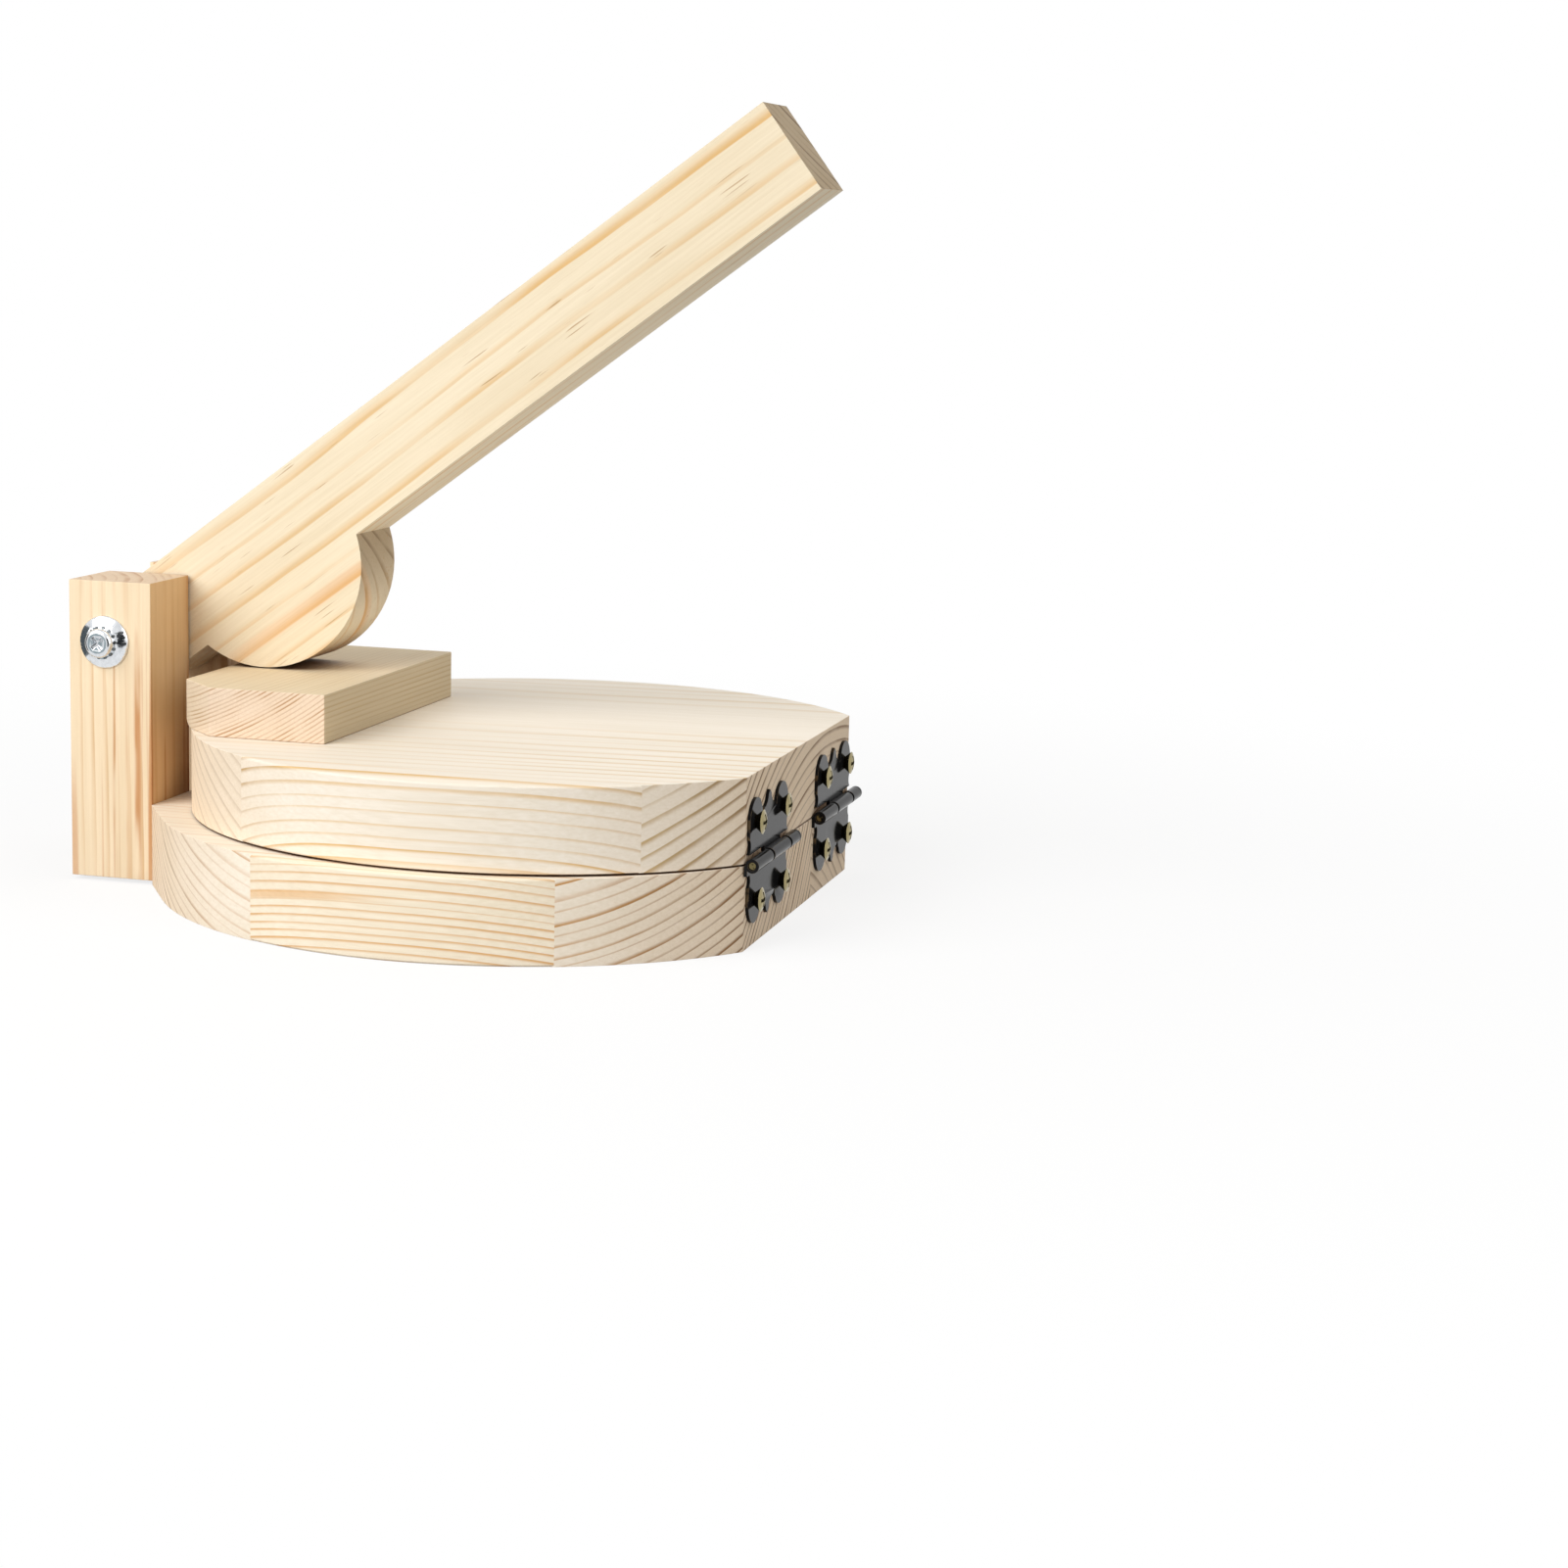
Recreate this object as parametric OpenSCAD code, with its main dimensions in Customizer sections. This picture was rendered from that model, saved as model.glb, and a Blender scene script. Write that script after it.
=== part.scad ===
// Wooden tortilla press: two round pine boards joined by a pair of small iron
// hinges, and a cam lever that turns on a bolt between two posts.
// X runs from the posts to the hinges, Y across the press and Z upwards.
// The origin is the middle of the round lower board, on its underside.

/* [Boards] */
// Radius of the round lower board
board_r = 88; // [84:0.5:100]
// Thickness of the lower board
lower_t = 20; // [17:0.5:28]
// Thickness of the upper board
upper_t = 20; // [16:0.5:24]
// Depth of the flat that is cut off the boards for the hinges
hinge_cut = 16; // [15:0.5:22]
// Depth of the flat that is cut off the lower board for the posts
post_cut = 4.4; // [1:0.2:8]
// Space between the upper board and the posts
post_clear = 4; // [1:0.1:6]
// Gap between the two boards when the press is shut
plate_gap = 0.5; // [0.4:0.1:4]
// Near glue line of the lower board, as a share of its radius
lower_near_seam_share = -0.91; // [-0.94:0.01:-0.7]
// Far glue line of the lower board, as a share of its radius
lower_far_seam_share = 0.15; // [-0.2:0.01:0.2]
// Near glue line of the upper board, as a share of its radius
upper_near_seam_share = -0.82; // [-0.9:0.01:-0.7]
// Far glue line of the upper board, as a share of its radius
upper_far_seam_share = 0.13; // [-0.2:0.01:0.2]

/* [Posts] */
// Thickness of a post, measured from the board outwards
post_w = 21.5; // [19:0.5:28]
// Width of a post, measured across the press
post_d = 21.5; // [16:0.5:28]
// Height of the top of the posts above the pivot
post_rise = 14.9; // [10:0.1:30]
// Height of the foot of the posts above the table
post_lift = 1; // [0:0.2:3]

/* [Lever] */
// Thickness of the lever, measured across the press
lever_t = 22; // [16:0.5:28]
// Gap on each side of the lever in the slot between the posts
lever_clear = 0.5; // [0.3:0.1:2]
// Height of the lever's straight bar
lever_h = 24.2; // [18:0.2:28]
// Length of the lever from the pivot to its tip
lever_len = 205; // [150:1:260]
// Angle of the lever above the table when the press is shut
lever_angle = 36.8; // [34:0.2:42]
// Distance of the pivot from the face of the posts that meets the board
pivot_inset = 12.2; // [8:0.2:14.8]
// Radius of the cam under the lever
cam_r = 26; // [22:0.2:27]
// Distance of the cam's middle from the pivot, along the lever
cam_along = 37; // [36:0.2:48]
// Distance of the cam's middle below the lever's centre line
cam_below = 4; // [1:0.2:6]
// Gap between the cam and the bar when the press is shut
cam_gap = 0.3; // [0.2:0.1:2]

/* [Press bar] */
// Width of the bar under the cam, measured along the press
bar_w = 40.5; // [24:0.5:44]
// Length of the bar, measured across the press
bar_l = 85; // [60:1:110]
// Thickness of the bar
bar_t = 11.8; // [8:0.2:20]
// Distance of the bar in from the upper board's flat end at the posts
bar_inset = 6.6; // [3:0.1:15]
// Distance that the bar sits off the middle, towards the near side
bar_offset = 4; // [0:0.5:6]
// Radius of the bar's lower edge at the posts
bar_round = 2.5; // [1:0.5:8]
// Length that the slanting cuts take off each side of the bar's corners at the posts
bar_corner = 11; // [2:0.5:14]

/* [Pivot bolt] */
// Diameter of the bolt's shank
bolt_d = 4; // [3:0.1:5]
// Diameter of the bolt's pan head
bolt_head_d = 7.2; // [6:0.1:9]
// Height of the bolt's pan head
bolt_head_h = 2.4; // [1.6:0.1:3]
// Diameter of the cup washers under the head and the nut
washer_d = 12.9; // [10:0.1:16]
// Height of a cup washer in its middle
washer_h = 1.7; // [1:0.1:2.4]
// Thickness of a cup washer at its rim
washer_rim = 0.7; // [0.4:0.1:1]
// Size of the lock nut across its flats
nut_af = 7; // [6.5:0.1:10]
// Height of the lock nut's six-sided part
nut_h = 3.2; // [2.4:0.1:4]
// Height of the lock nut's round collar
nut_collar = 1.6; // [1:0.1:2.4]

/* [Hinges] */
// Distance of each hinge's middle from the middle of the press
hinge_y = 32; // [24:0.5:32.5]
// Thickness of the hinge leaves
leaf_t = 0.8; // [0.5:0.1:1.2]
// Distance between a leaf's two screws
screw_pitch = 23.5; // [20:0.5:26]
// Distance of a leaf's screws from the barrel's axis
screw_rise = 9.1; // [8.8:0.1:11]
// Radius of the round ears of a leaf
ear_r = 5.6; // [4.5:0.1:6.5]
// Distance of the leaf's middle point from the barrel's axis
crown_rise = 14.7; // [13.5:0.1:17]
// Radius of a leaf's screw holes
leaf_hole_r = 1.6; // [1.55:0.05:2]
// Radius of the barrel
barrel_r = 1.65; // [1.5:0.05:1.9]
// Length of the barrel
barrel_l = 38.5; // [34:0.5:40]
// Radius of the hinge pin
pin_r = 0.9; // [0.6:0.05:0.95]
// Share of the barrel's length that its near knuckle takes
near_knuckle_share = 0.37; // [0.3:0.01:0.4]
// Share of the barrel's length that its middle knuckle takes
middle_knuckle_share = 0.42; // [0.3:0.01:0.45]
// Gap between neighbouring knuckles
knuckle_gap = 1.4; // [0.2:0.1:2]

/* [Screws] */
// Radius of the heads of the hinge screws
hinge_screw_head_r = 2.85; // [2.4:0.05:3.2]
// Radius of the shanks of the hinge screws
hinge_screw_r = 1.3; // [1:0.05:1.5]
// Height of the cone under the heads of the hinge screws
hinge_screw_cone_h = 1.9; // [1.4:0.1:2.4]
// Height of the rounded top of the hinge screws
hinge_screw_dome_h = 0.7; // [0.4:0.1:1]
// Length of the hinge screws below the head's rim
hinge_screw_l = 14; // [10:0.5:20]
// Radius of the heads of the screws that hold the posts and the bar
wood_screw_head_r = 3.6; // [3:0.1:4]
// Radius of the shanks of the screws that hold the posts and the bar
wood_screw_r = 1.75; // [1.4:0.05:2.2]
// Depth that the posts' screws reach into the lower board
post_screw_bite = 23.5; // [10:0.5:40]
// Distance between the two screws of a post
post_screw_pitch = 8.4; // [8:0.1:9.5]
// Depth that the bar's screws reach into the bar
bar_screw_bite = 7; // [4:0.5:7.5]
// Distance between the two screws of the bar
bar_screw_pitch = 50; // [36:1:56]

/* [Hidden] */
$fn = 96;

// Overrun of a cut past the surface that it leaves
over = 1;
// Radial room of a shank or a pin in a hole that it turns in
turn_clear = 0.08;
// Radial room of a shank in a hole that holds it still
seat_clear = 0.05;
// Gap between the back of the barrel and the boards' flat end
barrel_clear = 0.25;
// Gap between the barrel and the straight edge of each leaf
slot_gap = 0.45;
// Length of a screw's point
point_l = 3;
// Depth, width and reach of the arms of a cross recess, as shares of the head's radius
recess_depth_share = 0.42;
recess_width_share = 0.3;
recess_reach_share = 0.62;
// Turn of the cross recess in the bolt's head
recess_turn = 40;
// Radius of the lock nut's collar, as a share of half its width across the flats
collar_share = 0.9;
// Height of the knob at the far end of a hinge pin, as a share of the barrel's radius
knob_share = 0.9;
// Radius of the notches beside a leaf's middle point, as a share of the point's rise
notch_share = 0.8;

hinge_flat = board_r - hinge_cut;
post_flat = board_r - post_cut;
slot_w = lever_t + 2 * lever_clear;
post_half = slot_w / 2 + post_d;
post_mid = slot_w / 2 + post_d / 2;
upper_z = lower_t + plate_gap;
bar_z = upper_z + upper_t;
post_screw_l = post_w + post_screw_bite;
bar_screw_l = upper_t + bar_screw_bite;

// The cam's lowest point hangs this far below the pivot when the press is shut.
cam_drop = cam_r + cam_below * cos(lever_angle) - cam_along * sin(lever_angle);
pivot_x = -post_flat - pivot_inset;
pivot_z = bar_z + bar_t + cam_gap + cam_drop;
post_top = pivot_z + post_rise;
bolt_l = 2 * (post_half + washer_h) + nut_h + nut_collar + bolt_d / 4;

// The upper board's outline is a circle that meets the lower board's outline
// at the hinge corners and stops short of the posts.
upper_reach = post_flat - post_clear;
upper_x = (pow(board_r, 2) - pow(upper_reach, 2)) / (2 * (upper_reach + hinge_flat));
upper_r = upper_reach + upper_x;
bar_x = -upper_reach + bar_inset;

lower_seams = [lower_near_seam_share * board_r, lower_far_seam_share * board_r];
upper_seams = [upper_near_seam_share * upper_r, upper_far_seam_share * upper_r];

axis_x = hinge_flat + barrel_clear + barrel_r;
axis_z = lower_t + plate_gap / 2;
leaf_edge = barrel_r + slot_gap;
leaf_half = screw_pitch / 2 + ear_r;
barrel_y0 = -barrel_l / 2;
knuckle_1 = barrel_y0 + near_knuckle_share * barrel_l;
knuckle_2 = knuckle_1 + middle_knuckle_share * barrel_l;
outer_spans = [
    [barrel_y0, knuckle_1 - knuckle_gap / 2],
    [knuckle_2 + knuckle_gap / 2, barrel_y0 + barrel_l]
];
middle_spans = [[knuckle_1 + knuckle_gap / 2, knuckle_2 - knuckle_gap / 2]];

// The cone of a hinge screw rests on the edge of the leaf's hole, which holds
// the rim of its head this far in front of the leaf.
hinge_rim_rise = hinge_screw_cone_h * (hinge_screw_head_r + seat_clear - leaf_hole_r)
    / (hinge_screw_head_r - hinge_screw_r);

pine = [0.93, 0.84, 0.68];
pale_pine = [0.96, 0.90, 0.79];
warm_pine = [0.88, 0.74, 0.54];
zinc = [0.80, 0.82, 0.84];
dark_iron = [0.16, 0.15, 0.14];
brass = [0.78, 0.66, 0.36];

// Outline shapes

module lower_outline() {
    corner_d = norm([post_flat, post_half]);
    corner_a = atan2(post_half, post_flat);
    swing = acos(min(1, board_r / corner_d));
    side_a = 180 - corner_a - swing;
    intersection() {
        union() {
            circle(r = board_r, $fn = 180);
            polygon([
                [0, 0],
                [board_r * cos(side_a), board_r * sin(side_a)],
                [-post_flat, post_half],
                [-post_flat, -post_half],
                [board_r * cos(side_a), -board_r * sin(side_a)]
            ]);
        }
        translate([-post_flat, -board_r - over])
            square([post_flat + hinge_flat, 2 * (board_r + over)]);
    }
}

module upper_outline() {
    intersection() {
        translate([upper_x, 0]) circle(r = upper_r, $fn = 180);
        translate([-upper_reach - over, -upper_r - over])
            square([upper_reach + over + hinge_flat, 2 * (upper_r + over)]);
    }
}

module strip(y0, y1, reach) {
    translate([-reach, y0]) square([2 * reach, y1 - y0]);
}

// Screws and their holes

// A hinge screw with a raised head that points down, with the rim of its head at zero
module raised_screw() {
    dome_r = (pow(hinge_screw_head_r, 2) + pow(hinge_screw_dome_h, 2)) / (2 * hinge_screw_dome_h);
    difference() {
        rotate_extrude($fn = 48) {
            polygon([
                [0, -hinge_screw_l], [hinge_screw_r, -hinge_screw_l + point_l],
                [hinge_screw_r, -hinge_screw_cone_h], [hinge_screw_head_r, 0], [0, 0]
            ]);
            intersection() {
                translate([0, hinge_screw_dome_h - dome_r]) circle(r = dome_r);
                square([hinge_screw_head_r, hinge_screw_dome_h]);
            }
        }
        cross_recess(hinge_screw_head_r, hinge_screw_dome_h);
    }
}

// The cross recess of a head whose crown is at the given height
module cross_recess(head_r, crown) {
    depth = recess_depth_share * head_r;
    wide = recess_width_share * head_r;
    reach = recess_reach_share * head_r;
    for (turn = [0, 90]) {
        rotate([0, 0, turn])
            translate([0, 0, crown])
                rotate([90, 0, 0])
                    linear_extrude(wide, center = true)
                        polygon([
                            [-reach, depth], [-reach, -depth / 2], [-wide / 2, -depth],
                            [wide / 2, -depth], [reach, -depth / 2], [reach, depth]
                        ]);
    }
}

// A flush wood screw that points down, with the top of its head at zero
module wood_screw(length) {
    cone_h = wood_screw_head_r - wood_screw_r;
    difference() {
        rotate_extrude($fn = 48)
            polygon([
                [0, -length], [wood_screw_r, -length + point_l],
                [wood_screw_r, -cone_h], [wood_screw_head_r, 0], [0, 0]
            ]);
        cross_recess(wood_screw_head_r, 0);
    }
}

// The countersunk hole that a flush wood screw sits in
module wood_screw_hole(length) {
    cone_h = wood_screw_head_r - wood_screw_r;
    hole_r = wood_screw_r + seat_clear;
    rotate_extrude($fn = 48)
        polygon([
            [0, -length - seat_clear], [hole_r, -length - seat_clear], [hole_r, -cone_h],
            [wood_screw_head_r + seat_clear, 0], [wood_screw_head_r + seat_clear, over], [0, over]
        ]);
}

// Places of the fasteners

// Puts children on the outer face of the posts, pointing into the board
module at_post_screws(sides) {
    for (side = sides, up = [-1, 1]) {
        up_z = (lower_t + post_lift) / 2 + up * post_screw_pitch / 2;
        translate([-post_flat - post_w, side * post_mid, up_z])
            rotate([0, -90, 0]) children();
    }
}

// Puts children on the upper board's underside, pointing up into the bar
module at_bar_screws() {
    for (side = [-1, 1]) {
        translate([bar_x + bar_w / 2, side * bar_screw_pitch / 2 - bar_offset, upper_z])
            rotate([180, 0, 0]) children();
    }
}

// Puts children on the front of a leaf, pointing into the board's flat end
module at_hinge_screws(y, up) {
    for (side = [-1, 1]) {
        translate([hinge_flat + leaf_t, y + side * screw_pitch / 2, axis_z + up * screw_rise])
            rotate([0, 90, 0]) children();
    }
}

module hinge_pilot_holes(up) {
    for (side = [-1, 1]) {
        at_hinge_screws(side * hinge_y, up)
            translate([0, 0, -hinge_screw_l])
                cylinder(r = hinge_screw_r + seat_clear, h = hinge_screw_l + over, $fn = 32);
    }
}

// Boards

module lower_stave(y0, y1) {
    color(pale_pine) difference() {
        linear_extrude(lower_t) intersection() {
            lower_outline();
            strip(y0, y1, 2 * board_r);
        }
        hinge_pilot_holes(-1);
        at_post_screws([-1, 1]) wood_screw_hole(post_screw_l);
    }
}

module upper_stave(y0, y1) {
    color(pale_pine) difference() {
        translate([0, 0, upper_z]) linear_extrude(upper_t) intersection() {
            upper_outline();
            strip(y0, y1, 2 * upper_r);
        }
        hinge_pilot_holes(1);
        at_bar_screws() wood_screw_hole(bar_screw_l);
    }
}

module lower_stave_near() { lower_stave(-2 * board_r, lower_seams[0]); }
module lower_stave_middle() { lower_stave(lower_seams[0], lower_seams[1]); }
module lower_stave_far() { lower_stave(lower_seams[1], 2 * board_r); }
module upper_stave_near() { upper_stave(-2 * upper_r, upper_seams[0]); }
module upper_stave_middle() { upper_stave(upper_seams[0], upper_seams[1]); }
module upper_stave_far() { upper_stave(upper_seams[1], 2 * upper_r); }

// Posts

module post(side) {
    color(warm_pine) difference() {
        translate([-post_flat - post_w, side * post_mid - post_d / 2, post_lift])
            cube([post_w, post_d, post_top - post_lift]);
        bolt_hole(bolt_d / 2 + seat_clear);
        at_post_screws([side]) wood_screw_hole(post_screw_l);
    }
}

module near_post() { post(-1); }
module far_post() { post(1); }

module post_screws() {
    color(zinc) at_post_screws([-1, 1]) wood_screw(post_screw_l);
}

// Pivot bolt

module bolt_hole(r) {
    translate([pivot_x, 0, pivot_z])
        rotate([90, 0, 0])
            cylinder(r = r, h = 2 * (post_half + over), center = true, $fn = 48);
}

// Puts children at the outer face of the near (-1) or far (1) post, pointing outwards
module at_pivot_end(side) {
    translate([pivot_x, side * post_half, pivot_z]) rotate([-side * 90, 0, 0]) children();
}

module cup_washer() {
    hole_r = bolt_d / 2 + seat_clear;
    cup_r = bolt_head_d / 2 + hole_r / 4;
    rotate_extrude($fn = 64)
        polygon([
            [hole_r, 0], [washer_d / 2, 0], [washer_d / 2, washer_rim / 2],
            [washer_d / 2 - washer_rim / 2, washer_rim],
            [cup_r, washer_h], [hole_r, washer_h]
        ]);
}

module near_cup_washer() { color(zinc) at_pivot_end(-1) cup_washer(); }
module far_cup_washer() { color(zinc) at_pivot_end(1) cup_washer(); }

module pivot_bolt() {
    round_r = bolt_head_h / 2;
    color(zinc) at_pivot_end(-1) translate([0, 0, washer_h]) {
        difference() {
            union() {
                rotate_extrude($fn = 64) {
                    square([bolt_head_d / 2, bolt_head_h - round_r]);
                    square([bolt_head_d / 2 - round_r, bolt_head_h]);
                    translate([bolt_head_d / 2 - round_r, bolt_head_h - round_r]) circle(r = round_r);
                }
                translate([0, 0, -bolt_l]) cylinder(r = bolt_d / 2, h = bolt_l, $fn = 48);
            }
            rotate([0, 0, recess_turn]) cross_recess(bolt_head_d / 2 - round_r / 2, bolt_head_h);
        }
    }
}

module lock_nut() {
    nut_hole_r = bolt_d / 2 + seat_clear;
    color(zinc) at_pivot_end(1) translate([0, 0, washer_h])
        difference() {
            union() {
                cylinder(r = nut_af / sqrt(3), h = nut_h, $fn = 6);
                cylinder(r = collar_share * nut_af / 2, h = nut_h + nut_collar, $fn = 48);
            }
            translate([0, 0, -over]) cylinder(r = nut_hole_r, h = nut_h + nut_collar + 2 * over, $fn = 48);
        }
}

// Lever

module lever_outline() {
    circle(r = lever_h / 2);
    translate([0, -lever_h / 2]) square([lever_len, lever_h]);
    intersection() {
        translate([cam_along, -cam_below]) circle(r = cam_r, $fn = 180);
        translate([cam_along - cam_r, -cam_below - cam_r]) square([2 * cam_r, cam_below + cam_r]);
    }
}

module lever() {
    color(pine) difference() {
        translate([pivot_x, lever_t / 2, pivot_z])
            rotate([90, -lever_angle, 0])
                linear_extrude(lever_t) lever_outline();
        bolt_hole(bolt_d / 2 + turn_clear);
    }
}

// Press bar

module press_bar() {
    color(pine) difference() {
        intersection() {
            translate([bar_x, -bar_offset, bar_z]) linear_extrude(bar_t)
                polygon([
                    [bar_corner, -bar_l / 2], [bar_w, -bar_l / 2], [bar_w, bar_l / 2],
                    [bar_corner, bar_l / 2], [0, bar_l / 2 - bar_corner], [0, -bar_l / 2 + bar_corner]
                ]);
            translate([bar_x, bar_l / 2 - bar_offset + over, bar_z])
                rotate([90, 0, 0])
                    linear_extrude(bar_l + 2 * over) bar_section();
        }
        at_bar_screws() wood_screw_hole(bar_screw_l);
    }
}

module bar_section() {
    translate([bar_round, 0]) square([bar_w - bar_round, bar_t]);
    translate([0, bar_round]) square([bar_round, bar_t - bar_round]);
    intersection() {
        translate([bar_round, bar_round]) circle(r = bar_round);
        square([bar_round, bar_round]);
    }
}

module bar_screws() {
    color(zinc) at_bar_screws() wood_screw(bar_screw_l);
}

// Hinges

// The scalloped leaf above the barrel's axis, with its two screw holes
module leaf_outline() {
    waist_r = ear_r / 3;
    body_top = screw_rise + ear_r / 5;
    notch_r = notch_share * (crown_rise - body_top);
    difference() {
        union() {
            translate([-leaf_half, leaf_edge]) square([2 * leaf_half, body_top - leaf_edge]);
            for (side = [-1, 1]) translate([side * screw_pitch / 2, screw_rise]) circle(r = ear_r, $fn = 48);
            polygon([[-screw_pitch / 4, body_top], [0, crown_rise], [screw_pitch / 4, body_top]]);
        }
        for (side = [-1, 1]) {
            translate([side * screw_pitch / 2, screw_rise]) circle(r = leaf_hole_r, $fn = 32);
            translate([side * (leaf_half + waist_r / 2), leaf_edge + waist_r]) circle(r = waist_r, $fn = 32);
            translate([side * screw_pitch / 5, crown_rise]) circle(r = notch_r, $fn = 32);
        }
    }
}

// A hinge leaf: its plate on the boards' flat end, and the knuckles that it is rolled into
module hinge_leaf(y, up, spans) {
    color(dark_iron) {
        difference() {
            union() {
                translate([hinge_flat, y, axis_z])
                    rotate([90, 0, 90])
                        linear_extrude(leaf_t) scale([1, up]) leaf_outline();
                for (span = spans) {
                    translate([hinge_flat, y + span[0], up > 0 ? axis_z : axis_z - leaf_edge - slot_gap])
                        cube([leaf_t, span[1] - span[0], leaf_edge + slot_gap]);
                    translate([axis_x, y + span[0], axis_z])
                        rotate([-90, 0, 0]) cylinder(r = barrel_r, h = span[1] - span[0], $fn = 48);
                }
            }
            for (span = spans) {
                translate([axis_x, y + span[0] - over, axis_z])
                    rotate([-90, 0, 0])
                        cylinder(r = pin_r + (up > 0 ? turn_clear : seat_clear),
                                 h = span[1] - span[0] + 2 * over, $fn = 48);
            }
        }
    }
}

// The pin stops short of the near end and carries a round knob at the far end
module hinge_pin(y) {
    pin_recess = pin_r / 2;
    knob_h = knob_share * barrel_r;
    color(dark_iron) translate([axis_x, y + barrel_l / 2, axis_z]) rotate([90, 0, 0]) {
        cylinder(r = pin_r, h = barrel_l - pin_recess, $fn = 32);
        rotate_extrude($fn = 48) intersection() {
            translate([0, -knob_h / 2]) circle(r = barrel_r);
            translate([0, -knob_h]) square([barrel_r, knob_h]);
        }
    }
}

module hinge_screws(y, up) {
    color(brass) at_hinge_screws(y, up) translate([0, 0, hinge_rim_rise]) raised_screw();
}

module near_hinge_lower_leaf() { hinge_leaf(-hinge_y, -1, outer_spans); }
module near_hinge_upper_leaf() { hinge_leaf(-hinge_y, 1, middle_spans); }
module near_hinge_pin() { hinge_pin(-hinge_y); }
module near_hinge_lower_screws() { hinge_screws(-hinge_y, -1); }
module near_hinge_upper_screws() { hinge_screws(-hinge_y, 1); }
module far_hinge_lower_leaf() { hinge_leaf(hinge_y, -1, outer_spans); }
module far_hinge_upper_leaf() { hinge_leaf(hinge_y, 1, middle_spans); }
module far_hinge_pin() { hinge_pin(hinge_y); }
module far_hinge_lower_screws() { hinge_screws(hinge_y, -1); }
module far_hinge_upper_screws() { hinge_screws(hinge_y, 1); }

lower_stave_near();
lower_stave_middle();
lower_stave_far();
near_post();
far_post();
post_screws();
pivot_bolt();
near_cup_washer();
far_cup_washer();
lock_nut();
lever();
upper_stave_near();
upper_stave_middle();
upper_stave_far();
press_bar();
bar_screws();
near_hinge_lower_leaf();
near_hinge_upper_leaf();
near_hinge_pin();
near_hinge_lower_screws();
near_hinge_upper_screws();
far_hinge_lower_leaf();
far_hinge_upper_leaf();
far_hinge_pin();
far_hinge_lower_screws();
far_hinge_upper_screws();
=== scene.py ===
"""A tortilla press of pale pine, dressed and lit for its studio picture.

Two round boards, each glued up from three staves, open on a pair of scalloped hinges. A lever with
a cam lobe turns on a bolt between two posts and bears on the press bar. The frame gives every size;
this script eases the edges, adds the fine metalwork, gives each piece its wood or metal, and sets
up the floor, the light and the camera. Lengths are in millimetres and angles in degrees.
"""

import logging
import math
from dataclasses import dataclass
from enum import Enum
from functools import reduce
from typing import Callable, ClassVar, Mapping, Sequence

import bpy
from mathutils import Euler, Matrix, Vector


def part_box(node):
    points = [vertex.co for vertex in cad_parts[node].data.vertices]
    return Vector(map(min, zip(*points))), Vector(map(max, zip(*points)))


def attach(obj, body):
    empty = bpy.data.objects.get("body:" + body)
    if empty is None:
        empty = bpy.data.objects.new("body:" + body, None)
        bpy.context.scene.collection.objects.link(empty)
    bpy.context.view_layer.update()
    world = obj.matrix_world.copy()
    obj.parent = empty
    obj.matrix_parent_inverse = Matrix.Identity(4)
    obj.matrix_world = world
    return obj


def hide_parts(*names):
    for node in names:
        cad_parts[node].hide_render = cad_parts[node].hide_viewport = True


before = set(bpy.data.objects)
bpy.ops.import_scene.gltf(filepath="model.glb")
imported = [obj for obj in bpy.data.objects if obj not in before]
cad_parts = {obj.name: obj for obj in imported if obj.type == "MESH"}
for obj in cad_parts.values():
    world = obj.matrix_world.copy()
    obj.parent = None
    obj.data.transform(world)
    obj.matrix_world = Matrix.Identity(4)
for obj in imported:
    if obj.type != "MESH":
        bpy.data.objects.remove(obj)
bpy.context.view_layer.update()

LOG: logging.Logger = logging.getLogger("press")

Tint = tuple[int, int, int]
Pair = tuple[float, float]
Triple = tuple[float, float, float]
Paint = tuple[float, float, float, float]
Piece = bpy.types.Object
Socket = bpy.types.NodeSocket
Sockets = Mapping[str, Socket]
Fed = float | Triple | Paint | Socket
Spare = Callable[[Vector, Vector], bool]

MM: float = 0.001
WHITE: Paint = (1.0, 1.0, 1.0, 1.0)
EASED: str = "eased"


class Body(Enum):
    """The rigid parts of the press."""

    BASE = "base"
    UPPER_PLATE = "upper_plate"
    LEVER = "lever"


class Slot(Enum):
    """The record's material slots."""

    BOARD = "board_pine"
    POST = "post_pine"
    LEVER = "lever_pine"
    BAR = "bar_pine"
    ZINC = "zinc"
    IRON = "black_iron"
    BRASS = "brass"


class Fibre(Enum):
    """How far the wood's fibres are turned from the X axis, about X, Y and Z."""

    ALONG_BOARD = (0.0, 0.0, 0.0)
    UPRIGHT = (0.0, -90.0, 0.0)
    ACROSS = (0.0, 0.0, 90.0)
    ALONG_LEVER = (0.0, -36.8, 0.0)


def paint(tint: Tint) -> Paint:
    """Turns a screen colour into the linear colour that a shader takes.

    Args:
        tint: Red, green and blue from 0 to 255.

    Returns:
        The linear colour, opaque.
    """

    def linear(value: float) -> float:
        """Undoes the screen's gamma on one channel."""
        share = value / 255
        return share / 12.92 if share <= 0.04045 else ((share + 0.055) / 1.055) ** 2.4

    return linear(tint[0]), linear(tint[1]), linear(tint[2]), 1.0


# Shader nodes


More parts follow.
